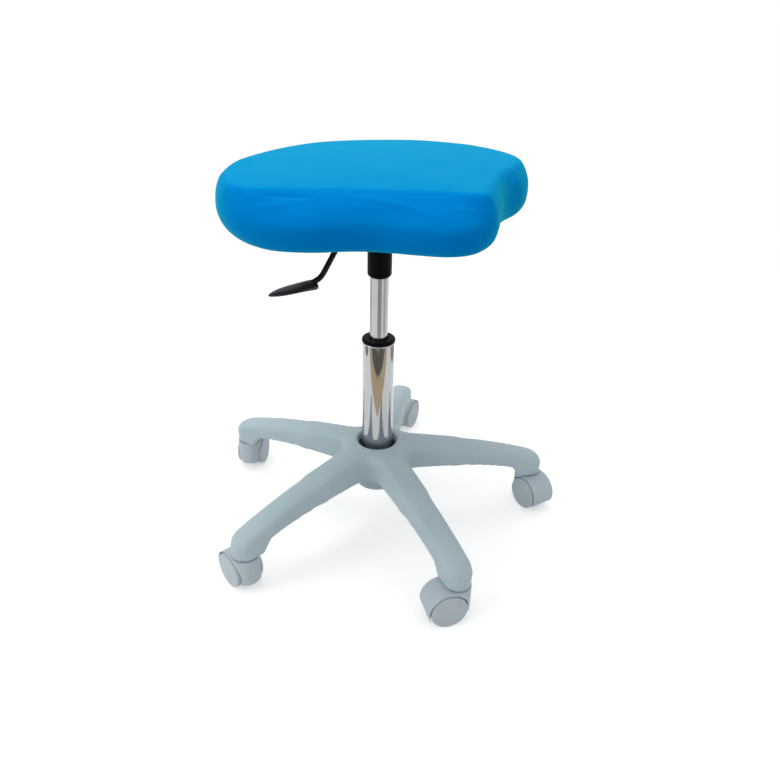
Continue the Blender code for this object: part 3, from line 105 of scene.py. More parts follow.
@contextmanager
def editing(item: bpy.types.Object) -> Iterator[None]:
    """Work on an object in edit mode.

    Args:
        item: The mesh object to edit.
    """
    make_active(item)
    bpy.ops.object.mode_set(mode="EDIT")
    bpy.ops.mesh.select_mode(type="VERT")
    yield
    bpy.ops.object.mode_set(mode="OBJECT")


def select_faces(item: bpy.types.Object, test: Callable[[Vector, Vector], bool]) -> None:
    """Select faces in edit mode by their place and normal.

    Args:
        item: The object in edit mode.
        test: Says of a face's centre and normal whether it is wanted.
    """
    bpy.ops.mesh.select_mode(type="FACE")
    bpy.ops.mesh.select_all(action="DESELECT")
    bm = bmesh.from_edit_mesh(item.data)
    for face in bm.faces:
        face.select = test(face.calc_center_median(), face.normal)
    bm.select_flush(True)
    bmesh.update_edit_mesh(item.data)


def select_points(item: bpy.types.Object, test: Callable[[Vector], bool]) -> None:
    """Select vertices in edit mode by their place.

    Args:
        item: The object in edit mode.
        test: Says of a point whether it is wanted.
    """
    bpy.ops.mesh.select_mode(type="VERT")
    bpy.ops.mesh.select_all(action="DESELECT")
    bm = bmesh.from_edit_mesh(item.data)
    for vert in bm.verts:
        vert.select = test(vert.co)
    bm.select_flush(True)
    bmesh.update_edit_mesh(item.data)


def settle_place(item: bpy.types.Object, name: str) -> bpy.types.Object:
    """Name a new object and put its place and turn into its mesh.

    Args:
        item: The object to settle.
        name: Its new name, which its mesh takes too.

    Returns:
        The same object, now at the origin.
    """
    item.name = name
    item.data.name = name
    make_active(item)
    bpy.ops.object.transform_apply(location=True, rotation=True, scale=True)
    return item


def outward(item: bpy.types.Object) -> None:
    """Merge double points and turn every face outwards.

    Args:
        item: The mesh object to clean.
    """
    with editing(item):
        bpy.ops.mesh.select_all(action="SELECT")
        bpy.ops.mesh.remove_doubles(threshold=0.001 * MM)
        bpy.ops.mesh.normals_make_consistent(inside=False)


def soften(item: bpy.types.Object, angle_deg: float = 35) -> None:
    """Shade an object smoothly, but for edges sharper than an angle."""
    make_active(item)
    bpy.ops.object.shade_smooth_by_angle(angle=math.radians(angle_deg))


def apply_modifier(item: bpy.types.Object, kind: str, **settings: object) -> None:
    """Add a modifier with its settings and apply it.

    Args:
        item: The object that takes the modifier.
        kind: The modifier's type.
        **settings: Values for the modifier's own properties.
    """
    step = item.modifiers.new(kind.lower(), kind)
    for key, value in settings.items():
        setattr(step, key, value)
    make_active(item)
    bpy.ops.object.modifier_apply(modifier=step.name)


def combine(item: bpy.types.Object, other: bpy.types.Object, operation: str) -> None:
    """Cut, join or intersect an object with a helper, which is then removed.

    Args:
        item: The object that stays.
        other: The helper.
        operation: DIFFERENCE, UNION or INTERSECT.
    """
    apply_modifier(item, "BOOLEAN", operation=operation, solver="EXACT", object=other)
    bpy.data.objects.remove(other, do_unlink=True)


def round_edges(item: bpy.types.Object, width: float, segments: int, angle_deg: float = 30) -> None:
    """Bevel the edges of an object that are sharper than an angle.

    Args:
        item: The object to bevel.
        width: The bevel's width in metres.
        segments: How many faces round the bevel.
        angle_deg: The least angle between faces that counts as an edge.
    """
    apply_modifier(
        item, "BEVEL", width=width, segments=segments, limit_method="ANGLE",
        angle_limit=math.radians(angle_deg), use_clamp_overlap=True,
    )


def turned(name: str, profile: Profile, segments: int = 128) -> bpy.types.Object:
    """Draw a closed round wall by extruding a circle along its section.

    Args:
        name: The new object's name.
        profile: Closed section as (radius, height) points.
        segments: Sides of the circle.

    Returns:
        The new object, shaded and facing outwards.
    """
    deselect_all()
    radius, height = profile[0]
    bpy.ops.mesh.primitive_circle_add(vertices=segments, radius=radius, location=(0, 0, height))
    item = settle_place(bpy.context.object, name)
    with editing(item):
        bpy.ops.mesh.select_all(action="SELECT")
        for (near, low), (far, high) in zip(profile, [*profile[1:], profile[0]]):
            bpy.ops.mesh.extrude_region_move(
                TRANSFORM_OT_translate={"value": (0, 0, high - low)},
            )
            bpy.ops.transform.resize(value=(far / near, far / near, 1), center_override=(0, 0, high))
    outward(item)
    return item


def quarter_round(steps: int) -> list[tuple[float, float]]:
    """Give the (cosine, sine) pairs of a quarter circle, from 0 to 90 degrees."""
    angles = [math.pi / 2 * i / steps for i in range(steps + 1)]
    return [(math.cos(angle), math.sin(angle)) for angle in angles]


def mesh_object(name: str, bm: bmesh.types.BMesh) -> bpy.types.Object:
    """Turn a finished bmesh into an object in the scene.

    Args:
        name: The new object's name, which its mesh takes too.
        bm: The finished bmesh, which is freed.

    Returns:
        The new object.
    """
    mesh = bpy.data.meshes.new(name)
    bm.to_mesh(mesh)
    bm.free()
    item = bpy.data.objects.new(name, mesh)
    bpy.context.scene.collection.objects.link(item)
    return item


def report(item: bpy.types.Object) -> None:
    """Log a finished piece with its number of faces."""
    LOG.info("%s: %d faces", item.name, len(item.data.polygons))


def round_bar(
    name: str, radius: float, low: Vector, high: Vector, segments: int = 96,
) -> bpy.types.Object:
    """Add a solid cylinder between two points as a blank to shape.

    Args:
        name: The new object's name.
        radius: Its radius in metres.
        low: Centre of one end.
        high: Centre of the other end.
        segments: Sides of the cylinder.

    Returns:
        The new object.
    """
    deselect_all()
    span = high - low
    bpy.ops.mesh.primitive_cylinder_add(
        vertices=segments, radius=radius, depth=span.length, location=(low + high) / 2,
        rotation=span.to_track_quat("Z", "Y").to_euler(),
    )
    return settle_place(bpy.context.object, name)


def block(name: str, low: Vector, high: Vector) -> bpy.types.Object:
    """Add a box between two corners as a blank to shape or a helper to cut with.

    Args:
        name: The new object's name.
        low: Its lowest corner.
        high: Its highest corner.

    Returns:
        The new object.
    """
    deselect_all()
    bpy.ops.mesh.primitive_cube_add(size=1, location=(low + high) / 2)
    item = bpy.context.object
    item.scale = high - low
    return settle_place(item, name)


def copy_of(item: bpy.types.Object, name: str, move: Matrix) -> bpy.types.Object:
    """Copy a finished piece with its own mesh to another place.

    Args:
        item: The piece to copy.
        name: The copy's name.
        move: Where the copy goes, from where the piece is.

    Returns:
        The copy.
    """
    twin = item.copy()
    twin.data = item.data.copy()
    twin.name = name
    twin.data.name = name
    twin.data.transform(move)
    bpy.context.scene.collection.objects.link(twin)
    return twin


def node_copy(node: bpy.types.Object, name: str) -> bpy.types.Object:
    """Copy a CAD node's form into a new object with its points merged.

    Args:
        node: The CAD node.
        name: The copy's name.

    Returns:
        The copy, without materials or the frame's marks.
    """
    deselect_all()
    item = bpy.data.objects.new(name, node.data.copy())
    bpy.context.scene.collection.objects.link(item)
    item.data.materials.clear()
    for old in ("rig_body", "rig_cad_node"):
        if old in item:
            del item[old]
    with editing(item):
        bpy.ops.mesh.customdata_custom_splitnormals_clear()
        bpy.ops.mesh.select_all(action="SELECT")
        bpy.ops.mesh.remove_doubles(threshold=0.001 * MM)
    return item


# Finishes


class Grain(Enum):
    """Kinds of fine surface texture."""

    LEATHER = "leather"
    SPARK = "spark"
    DRAWN = "drawn"
    WEAVE = "weave"
    PLY = "ply"


class Sheet:
    """The node sheet of one material, with short calls for its nodes."""

    def __init__(self, name: str) -> None:
        """Start a material with its shader.

        Args:
            name: The material's name.
        """
        self.material = bpy.data.materials.new(name)
        self.material.use_nodes = True
        self.tree = self.material.node_tree
        self.shader = self.tree.nodes["Principled BSDF"]
        self.place = self.tree.nodes.new("ShaderNodeTexCoord").outputs["Object"]

    def node(self, kind: str, **settings: object) -> bpy.types.Node:
        """Add a node with its properties set.

        Args:
            kind: The node's type.
            **settings: Values for its properties.

        Returns:
            The node.
        """
        made = self.tree.nodes.new(kind)
        for key, value in settings.items():
            setattr(made, key, value)
        return made

    def link(self, source: bpy.types.NodeSocket, target: bpy.types.NodeSocket) -> None:
        """Join two sockets."""
        self.tree.links.new(source, target)

    def stretched(self, scale: Sequence[float], turn: Sequence[float] = (0, 0, 0)) -> bpy.types.NodeSocket:
        """Object coordinates stretched and turned for a pattern with a direction.

        Args:
            scale: Stretch along each axis.
            turn: Turn about each axis in radians.

        Returns:
            The coordinates' socket.
        """
        mapping = self.node("ShaderNodeMapping")
        mapping.inputs["Rotation"].default_value = turn
        mapping.inputs["Scale"].default_value = scale
        self.link(self.place, mapping.inputs["Vector"])
        return mapping.outputs["Vector"]

    def noise(
        self, size: float, detail: float = 3, rough: float = 0.5,
        vector: bpy.types.NodeSocket | None = None,
    ) -> bpy.types.NodeSocket:
        """Soft noise whose blots are about size metres across.

        Args:
            size: Size of a blot.
            detail: Octaves of finer noise.
            rough: Strength of the finer noise.
            vector: Coordinates to read, or plain object coordinates.

        Returns:
            The noise value's socket.
        """
        made = self.node("ShaderNodeTexNoise")
        made.inputs["Scale"].default_value = 1 / size
        made.inputs["Detail"].default_value = detail
        made.inputs["Roughness"].default_value = rough
        self.link(vector or self.place, made.inputs["Vector"])
        return made.outputs["Fac"]

    def cells(self, size: float) -> bpy.types.NodeSocket:
        """Distances to the edge in a cell pattern whose cells are about size metres across.

        Args:
            size: Size of a cell.

        Returns:
            The distance's socket.
        """
        made = self.node("ShaderNodeTexVoronoi", feature="DISTANCE_TO_EDGE")
        made.inputs["Scale"].default_value = 1 / size
        self.link(self.place, made.inputs["Vector"])
        return made.outputs["Distance"]

    def spread(
        self, value: bpy.types.NodeSocket, low: float, high: float,
        start: float = 0.0, end: float = 1.0,
    ) -> bpy.types.NodeSocket:
        """Stretch a value from one range onto another, held at its ends.

        Args:
            value: The value's socket.
            low: Result at the start of the range.
            high: Result at its end.
            start: Start of the range.
            end: End of the range.

        Returns:
            The result's socket.
        """
        made = self.node("ShaderNodeMapRange")
        for key, number in (("From Min", start), ("From Max", end), ("To Min", low), ("To Max", high)):
            made.inputs[key].default_value = number
        self.link(value, made.inputs["Value"])
        return made.outputs["Result"]

    def blend(
        self, share: bpy.types.NodeSocket, first: object, second: object,
    ) -> bpy.types.NodeSocket:
        """Mix two colours, each a socket or a plain colour, by a share.

        Args:
            share: Share of the second colour, from 0 to 1.
            first: The colour at 0.
            second: The colour at 1.

        Returns:
            The mixed colour's socket.
        """
        made = self.node("ShaderNodeMix", data_type="RGBA")
        self.link(share, made.inputs[0])
        for socket, colour in ((made.inputs[6], first), (made.inputs[7], second)):
            if isinstance(colour, bpy.types.NodeSocket):
                self.link(colour, socket)
            else:
                socket.default_value = (*colour, 1)
        return made.outputs[2]

    def maths(self, operation: str, first: object, second: object = 0.0) -> bpy.types.NodeSocket:
        """Work out one sum of two values, each a socket or a number.

        Args:
            operation: The kind of sum.
            first: Its first value.
            second: Its second value.

        Returns:
            The result's socket.
        """
        made = self.node("ShaderNodeMath", operation=operation)
        for socket, value in zip(made.inputs, (first, second)):
            if isinstance(value, bpy.types.NodeSocket):
                self.link(value, socket)
            else:
                socket.default_value = value
        return made.outputs[0]

    def bump(
        self, height: bpy.types.NodeSocket, depth: float,
        under: bpy.types.NodeSocket | None = None,
    ) -> bpy.types.NodeSocket:
        """Raise the surface by a height map.

        Args:
            height: Value from 0 to 1.
            depth: Height in metres at 1.
            under: A normal that this bump goes on.

        Returns:
            The normal's socket.
        """
        made = self.node("ShaderNodeBump")
        made.inputs["Distance"].default_value = depth
        made.inputs["Strength"].default_value = 1.0
        self.link(height, made.inputs["Height"])
        if under is not None:
            self.link(under, made.inputs["Normal"])
        return made.outputs["Normal"]


@dataclass(frozen=True)
class Finish:
    """A plain moulded, painted or woven finish.

    The cloud is the slow change of colour over the surface, the grain is its
    fine relief, and the wear lightens the edges.
    """

    name: str
    colour: Colour
    cloud_colour: Colour
    cloud_size: float
    roughness: float
    roughness_spread: float
    grain: Grain
    grain_size: float
    grain_depth: float
    metallic: float = 0.0
    specular: float = 0.5
    ior: float = 1.45
    wear: float = 0.0
    wear_colour: Colour = (0.6, 0.6, 0.6)

    def relief(self, sheet: Sheet) -> bpy.types.NodeSocket:
        """Draw the grain and return the bumped normal.

        Args:
            sheet: The material's node sheet.

        Returns:
            The bumped normal's socket.
        """
        size, depth = self.grain_size, self.grain_depth
        if self.grain is Grain.LEATHER:
            pebbles = sheet.spread(sheet.cells(size), 0, 1, 0, 0.35)
            return sheet.bump(pebbles, depth, self.under(sheet))
        if self.grain is Grain.SPARK:
            return sheet.bump(sheet.noise(size, 4, 0.65), depth)
        if self.grain is Grain.DRAWN:
            return sheet.bump(sheet.noise(size, 3, 0.6, sheet.stretched((1, 1, 0.03))), depth)
        if self.grain is Grain.WEAVE:
            waves = []
            for turn in (0.0, math.pi / 2):
                wave = sheet.node("ShaderNodeTexWave", wave_type="BANDS", bands_direction="X")
                wave.inputs["Scale"].default_value = 1 / size
                sheet.link(sheet.stretched((1, 1, 1), (0, 0, turn)), wave.inputs["Vector"])
                waves.append(wave.outputs["Fac"])
            return sheet.bump(sheet.maths("MULTIPLY", *waves), depth)
        return sheet.bump(sheet.noise(size, 5, 0.6, sheet.stretched((0.08, 1, 1))), depth)

    def under(self, sheet: Sheet) -> bpy.types.NodeSocket | None:
        """Return the normal that the grain goes on, where a finish has one."""
        return None

    def colouring(self, sheet: Sheet) -> bpy.types.NodeSocket:
        """Draw the colour with its clouds and the wear along edges.

        Args:
            sheet: The material's node sheet.

        Returns:
            The colour's socket.
        """
        cloud = sheet.spread(sheet.noise(self.cloud_size, 4, 0.55), 0, 1, 0.35, 0.65)
        colour = sheet.blend(cloud, self.colour, self.cloud_colour)
        if self.wear > 0:
            edges = sheet.node("ShaderNodeNewGeometry").outputs["Pointiness"]
            worn = sheet.spread(edges, 0, self.wear, 0.52, 0.58)
            patchy = sheet.maths("MULTIPLY", worn, sheet.noise(self.cloud_size / 4, 4))
            colour = sheet.blend(patchy, colour, self.wear_colour)
        return colour

    def gloss(self, sheet: Sheet) -> bpy.types.NodeSocket:
        """Vary the roughness a little over the surface.

        Args:
            sheet: The material's node sheet.

        Returns:
            The roughness value's socket.
        """
        low = max(self.roughness - self.roughness_spread, 0)
        high = min(self.roughness + self.roughness_spread, 1)
        return sheet.spread(sheet.noise(self.cloud_size / 3, 5, 0.6), low, high, 0.3, 0.7)

    def material(self) -> bpy.types.Material:
        """Return the material, made the first time it is asked for.

        Returns:
            The material.
        """
        label = f"{self.name}_finish"
        if label in bpy.data.materials:
            return bpy.data.materials[label]
        sheet = Sheet(label)
        inputs = sheet.shader.inputs
        inputs["Metallic"].default_value = self.metallic
        inputs["Specular IOR Level"].default_value = self.specular
        inputs["IOR"].default_value = self.ior
        self.touches(sheet)
        sheet.link(self.colouring(sheet), inputs["Base Color"])
        sheet.link(self.gloss(sheet), inputs["Roughness"])
        sheet.link(self.relief(sheet), inputs["Normal"])
        return sheet.material

    def touches(self, sheet: Sheet) -> None:
        """Set what only this kind of finish has."""

    def dress(self, item: bpy.types.Object) -> None:
        """Put the finish on an object in place of what it has."""
        item.data.materials.clear()
        item.data.materials.append(self.material())


@dataclass(frozen=True)
class Vinyl(Finish):
    """Satin upholstery vinyl, pulled tight over foam."""

    tint: Colour = (0.0, 0.95, 0.55)
    sheen: float = 0.42
    sheen_roughness: float = 0.45
    pucker_size: float = 30 * MM
    pucker_depth: float = 0.35 * MM

    def touches(self, sheet: Sheet) -> None:
        """Give the vinyl its greenish sheen at shallow angles.

        Args:
            sheet: The material's node sheet.
        """
        inputs = sheet.shader.inputs
        inputs["Specular Tint"].default_value = (*self.tint, 1)
        inputs["Sheen Tint"].default_value = (*self.tint, 1)
        inputs["Sheen Weight"].default_value = self.sheen
        inputs["Sheen Roughness"].default_value = self.sheen_roughness

    def under(self, sheet: Sheet) -> bpy.types.NodeSocket:
        """Draw the slow puckers that lie under the fine leather grain."""
        slow = sheet.noise(self.pucker_size, 2, 0.4, sheet.stretched((1, 1, 2.2)))
        return sheet.bump(slow, self.pucker_depth)


@dataclass(frozen=True)
class Plated(Finish):
    """Polished chrome plate with faint polishing lines and a few marks."""

    def gloss(self, sheet: Sheet) -> bpy.types.NodeSocket:
        """Smudge the polish in places.

        Args:
            sheet: The material's node sheet.

        Returns:
            The roughness value's socket.
        """
        smudge = sheet.noise(self.cloud_size, 5, 0.6)
        high = self.roughness + self.roughness_spread
        return sheet.spread(smudge, self.roughness, high, 0.45, 0.8)


BLUE_VINYL = Vinyl(
    name="blue_vinyl", colour=(0.0, 0.215, 0.640), cloud_colour=(0.0, 0.205, 0.620),
    cloud_size=90 * MM, roughness=0.44, roughness_spread=0.04, grain=Grain.LEATHER,
    grain_size=0.9 * MM, grain_depth=0.035 * MM, specular=0.05, ior=1.10,
)
BASE_NYLON = Finish(
    name="grey_nylon", colour=(0.400, 0.510, 0.550), cloud_colour=(0.425, 0.525, 0.565),
    cloud_size=60 * MM, roughness=0.50, roughness_spread=0.07, grain=Grain.SPARK,
    grain_size=0.7 * MM, grain_depth=0.04 * MM, ior=1.3, wear=0.35,
    wear_colour=(0.50, 0.60, 0.64),
)
# Painted shade: near-black nylon for the faces deep in the recess round the column, where shade falls.
RECESS_PAINTED_SHADE = Finish(
    name="recess_painted_shade", colour=(0.060, 0.086, 0.102), cloud_colour=(0.072, 0.100, 0.118),
    cloud_size=20 * MM, roughness=0.60, roughness_spread=0.07, grain=Grain.SPARK,
    grain_size=0.7 * MM, grain_depth=0.04 * MM, ior=1.2,
)
HOOD_NYLON = Finish(
    name="hood_nylon", colour=(0.430, 0.500, 0.550), cloud_colour=(0.455, 0.520, 0.570),
    cloud_size=30 * MM, roughness=0.46, roughness_spread=0.06, grain=Grain.SPARK,
    grain_size=0.6 * MM, grain_depth=0.03 * MM, ior=1.22, wear=0.3,
    wear_colour=(0.55, 0.62, 0.68),
)
WHEEL_NYLON = Finish(
    name="wheel_nylon", colour=(0.455, 0.520, 0.565), cloud_colour=(0.425, 0.490, 0.535),
    cloud_size=16 * MM, roughness=0.48, roughness_spread=0.08, grain=Grain.SPARK,
    grain_size=0.5 * MM, grain_depth=0.03 * MM, ior=1.3, wear=0.5,
    wear_colour=(0.46, 0.52, 0.56),
)
CHROME = Plated(
    name="chrome", colour=(0.43, 0.44, 0.45), cloud_colour=(0.41, 0.42, 0.43),
    cloud_size=25 * MM, roughness=0.05, roughness_spread=0.07, grain=Grain.DRAWN,
    grain_size=0.6 * MM, grain_depth=0.002 * MM, metallic=1.0,
)
BLACK_STEEL = Finish(
    name="black_steel", colour=(0.006, 0.0065, 0.007), cloud_colour=(0.009, 0.0095, 0.010),
    cloud_size=20 * MM, roughness=0.42, roughness_spread=0.08, grain=Grain.SPARK,
    grain_size=0.8 * MM, grain_depth=0.03 * MM, ior=1.3, wear=0.3,
    wear_colour=(0.06, 0.06, 0.065),
)
BLACK_PLASTIC = Finish(
    name="black_plastic", colour=(0.001, 0.002, 0.0025), cloud_colour=(0.003, 0.004, 0.0045),
    cloud_size=18 * MM, roughness=0.34, roughness_spread=0.07, grain=Grain.SPARK,
    grain_size=0.5 * MM, grain_depth=0.02 * MM, ior=1.12, wear=0.12,
    wear_colour=(0.03, 0.032, 0.034),
)
PADDLE_PLASTIC = Finish(
    name="paddle_plastic", colour=(0.020, 0.024, 0.027), cloud_colour=(0.027, 0.031, 0.034),
    cloud_size=18 * MM, roughness=0.40, roughness_spread=0.06, grain=Grain.SPARK,
    grain_size=0.6 * MM, grain_depth=0.03 * MM, specular=0.55, wear=0.25,
    wear_colour=(0.09, 0.10, 0.105),
)
BARE_STEEL = Finish(
    name="bare_steel", colour=(0.52, 0.52, 0.53), cloud_colour=(0.44, 0.44, 0.45),
    cloud_size=12 * MM, roughness=0.34, roughness_spread=0.10, grain=Grain.DRAWN,
    grain_size=0.4 * MM, grain_depth=0.008 * MM, metallic=1.0,
)
RUBBER = Finish(
    name="black_rubber", colour=(0.022, 0.022, 0.022), cloud_colour=(0.034, 0.034, 0.034),
    cloud_size=10 * MM, roughness=0.85, roughness_spread=0.08, grain=Grain.SPARK,
    grain_size=0.6 * MM, grain_depth=0.05 * MM, specular=0.3,
)
PLYWOOD = Finish(
    name="plywood", colour=(0.52, 0.36, 0.20), cloud_colour=(0.42, 0.27, 0.14),
    cloud_size=35 * MM, roughness=0.75, roughness_spread=0.08, grain=Grain.PLY,
    grain_size=3 * MM, grain_depth=0.15 * MM, specular=0.3,
)
LINER_CLOTH = Finish(
    name="liner_cloth", colour=(0.018, 0.018, 0.019), cloud_colour=(0.028, 0.028, 0.029),
    cloud_size=25 * MM, roughness=0.92, roughness_spread=0.05, grain=Grain.WEAVE,
    grain_size=4 * MM, grain_depth=0.15 * MM, specular=0.2,
)


# Sub-assemblies


# How the vinyl behaves in the cloth simulation
TIGHT_VINYL = {
    "quality": 5, "mass": 0.3, "use_pressure": True, "tension_stiffness": 25,
    "compression_stiffness": 25, "shear_stiffness": 15, "bending_stiffness": 4,
}


@dataclass
class Cushion:
    """The upholstered seat pad: foam under blue vinyl.

    The sides follow a waisted outline. On the sitter's right the side slopes
    out far beyond the top's edge, and round the rest it falls steeply.
    """

    turn_deg: float = -55.7
    underside: float = 518 * MM
    mid_height: float = 549 * MM
    shoulder_height: float = 588.5 * MM
    crown: float = 3.5 * MM
    lower_edge: float = 30 * MM
    side_rise: float = 0.62
    square_from: float = 18 * MM
    square_to: float = 101 * MM
    square_most: float = 1.2
    square_draw: float = 14 * MM
    start_inset: float = 1.5 * MM
    cut_below: float = 1.5 * MM
    least_fall_share: float = 0.45
    full_fall_inset: float = 90 * MM
    crown_shares: tuple[float, ...] = (0.985, 0.93, 0.8, 0.6, 0.4, 0.2)
    points: int = 240
    curve_steps: int = 16
    lower_steps: int = 8
    upper_steps: int = 10
    voxel: float = 4.5 * MM
    pressure: float = 4.0
    frames: int = 20
    held_band: float = 1 * MM
    top_band: float = 1.2 * MM
    top_hold: float = 0.4
    swell_cap: float = 3.5 * MM
    pull_reach: float = 3
    pull_ends: tuple[float, float] = (0.06, 0.94)
    pull_fade: float = 0.6
    recess_points: int = 48
    turn_in: float = 56 * MM
    board_inset: float = 40.5 * MM
    pocket_floor: float = 519.6 * MM
    pocket_roof: float = 532.2 * MM

    def outline_table(self) -> list[tuple[float, float, float]]:
        """Corners of the outline as (forward, left, how far in the top's edge is).

        Returns:
            The corners in metres, from the nose round by the sitter's right.
        """
        right = [
            (213, 0, 50), (202, -36, 55), (178, -65, 53), (145, -98, 44), (125, -129, 46),
            (107, -169, 49), (75, -208, 45), (39, -226, 27), (-1, -230, 13), (-41, -224, 12),
            (-78, -209, 12), (-137, -162, 13), (-174, -100, 14), (-193, -47, 14), (-200, 0, 14),
        ]
        left = [
            (-193, 47, 14), (-174, 100, 14), (-137, 162, 13), (-78, 209, 13), (-41, 224, 14),
            (-1, 230, 14), (39, 226, 15), (75, 208, 17), (107, 169, 20), (125, 129, 17),
            (145, 98, 13), (178, 65, 15), (202, 36, 20),
        ]
        return [(x * MM, y * MM, inset * MM) for x, y, inset in right + left]

    def outline(self, points: int) -> list[tuple[Vector, Vector, float]]:
        """Even places round the pad.

        Args:
            points: How many places.

        Returns:
            Each place with its outward direction and its top edge's inset.
        """
        table = [Vector(row) for row in self.outline_table()]
        dense: list[Vector] = []
        count = len(table)
        for i in range(count):
            a, b, c, d = (table[(i + k) % count] for k in (-1, 0, 1, 2))
            for step in range(self.curve_steps):
                t = step / self.curve_steps
                dense.append((
                    2 * b + (c - a) * t + (2 * a - 5 * b + 4 * c - d) * t ** 2
                    + (3 * b - a - 3 * c + d) * t ** 3
                ) / 2)
        flat = [Vector((p.x, p.y)) for p in dense]
        lengths = [(flat[(i + 1) % len(flat)] - p).length for i, p in enumerate(flat)]
        total, walked, index = sum(lengths), 0.0, 0
        evenly: list[Vector] = []
        for k in range(points):
            goal = total * k / points
            while walked + lengths[index] < goal:
                walked += lengths[index]
                index += 1
            share = (goal - walked) / lengths[index]
            evenly.append(dense[index].lerp(dense[(index + 1) % len(dense)], share))
        rows = []
        turn = Matrix.Rotation(math.radians(self.turn_deg), 2)
        for k, spot in enumerate(evenly):
            along = evenly[(k + 1) % points] - evenly[k - 1]
            side = Vector((along.y, -along.x)).normalized()
            if side.dot(Vector((spot.x, spot.y))) < 0:
                side = -side
            rows.append((turn @ Vector((spot.x, spot.y)), turn @ side, spot.z))
        return rows

    def levels(self, spot: Vector, inset: float) -> list[tuple[float, float]]:
        """Section of the side as (inset, height), from the underside to the top's edge.

        Args:
            spot: The place on the outline. The lower edge is squarer by the nose.
            inset: How far in the top's edge is at this place.

        Returns:
            The section's points.
        """
        margin, low = self.start_inset, self.underside - self.cut_below
        share = (spot.x - self.square_from) / (self.square_to - self.square_from)
        share = min(max(share, 0), 1)
        power = 2 / (2 + self.square_most * share)
        turn_under = self.lower_edge + self.square_draw * share
        lower = []
        for cosine, sine in quarter_round(self.lower_steps):
            out, down = sine ** power, max(cosine, 0) ** power
            lower.append((
                turn_under - (turn_under - margin) * out,
                self.mid_height - (self.mid_height - low) * down,
            ))
        fall = (self.shoulder_height - self.mid_height) * self.side_rise
        fall *= min(1.0, self.least_fall_share + inset / self.full_fall_inset)
        corner = (margin, self.shoulder_height - fall)
        start, end = (margin, self.mid_height), (inset, self.shoulder_height)
        upper = []
        for i in range(1, self.upper_steps + 1):
            t = i / self.upper_steps
            upper.append(tuple(
                (1 - t) ** 2 * p + 2 * t * (1 - t) * q + t ** 2 * r
                for p, q, r in zip(start, corner, end)
            ))
        return lower + upper

    def ring_form(self, name: str) -> bpy.types.Object:
        """Loft the closed pad from its sections and crown its top.

        Args:
            name: The new object's name.

        Returns:
            The closed pad.
        """
        bm = bmesh.new()
        rows = self.outline(self.points)
        columns = []
        for spot, side, inset in rows:
            columns.append([
                bm.verts.new((*(spot - side * step), height)) for step, height in self.levels(spot, inset)
            ])
        depth = len(columns[0])
        for k, column in enumerate(columns):
            following = columns[(k + 1) % len(columns)]
            for j in range(depth - 1):
                bm.faces.new((column[j], following[j], following[j + 1], column[j + 1]))
        rim = [column[-1].co.copy() for column in columns]
        centre = Vector((sum(p.x for p in rim), sum(p.y for p in rim))) / len(rim)
        last = [column[-1] for column in columns]
        for share in self.crown_shares:
            height = self.shoulder_height + self.crown * (1 - share ** 2)
            ring = [
                bm.verts.new((*(centre + (p.xy - centre) * share), height)) for p in rim
            ]
            for k in range(len(ring)):
                j = (k + 1) % len(ring)
                bm.faces.new((last[k], last[j], ring[j], ring[k]))
            last = ring
        bm.faces.new(last)
        bm.faces.new([column[0] for column in reversed(columns)])
        bmesh.ops.recalc_face_normals(bm, faces=bm.faces)
        return mesh_object(name, bm)

    def inflate(self, item: bpy.types.Object) -> None:
        """Let the vinyl swell like foam under tight cloth, then keep what moved.

        Args:
            item: The closed pad, already in small even faces.
        """
        rest = [vert.co.copy() for vert in item.data.vertices]
        held = item.vertex_groups.new(name="held")
        for vert in item.data.vertices:
            if vert.co.z < self.underside + self.held_band:
                held.add([vert.index], 1.0, "REPLACE")
            elif vert.co.z > self.shoulder_height - self.top_band:
                held.add([vert.index], self.top_hold, "REPLACE")
        cloth = item.modifiers.new("cloth", "CLOTH")
        settings = cloth.settings
        for key, value in TIGHT_VINYL.items():
            setattr(settings, key, value)
        settings.uniform_pressure_force = self.pressure
        settings.effector_weights.gravity = 0
        settings.vertex_group_mass = held.name
        cloth.point_cache.frame_start = 1
        cloth.point_cache.frame_end = self.frames
        scene = bpy.context.scene
        for frame in range(1, self.frames + 1):
            scene.frame_set(frame)
        make_active(item)
        bpy.ops.object.modifier_apply(modifier=cloth.name)
        for vert, start in zip(item.data.vertices, rest):
            moved = vert.co - start
            if moved.length > self.swell_cap:
                vert.co = start + moved.normalized() * self.swell_cap
        scene.frame_set(1)
        item.vertex_groups.clear()

    def creases(self) -> list[tuple[float, float, list[tuple[float, float, float]]]]:
        """Pulls in the vinyl of the near side: height, half-width and line, in millimetres.

        Returns:
            Each pull as (height, half-width, points of its line).
        """
        return [
            (2.2, 4.5, [
                (-38, -142, 580), (-16, -144, 578), (8, -148, 576), (32, -153, 573),
                (50, -160, 570), (70, -167, 567),
            ]),
            (1.4, 5.5, [(-60, -150, 573), (-28, -151, 572), (4, -153, 571)]),
            (2.0, 6.0, [(-137, -158, 571), (-121, -158, 571.5), (-104, -158, 572)]),
            (1.2, 3.5, [(-162, -139, 583), (-143, -148, 580), (-121, -153, 576)]),
            (-1.5, 3.2, [(-133, -147, 583), (-105, -147.5, 582), (-79, -147.5, 582)]),
            (1.0, 4.0, [(79, -161, 571), (99, -158, 571), (118, -153, 572)]),
        ]

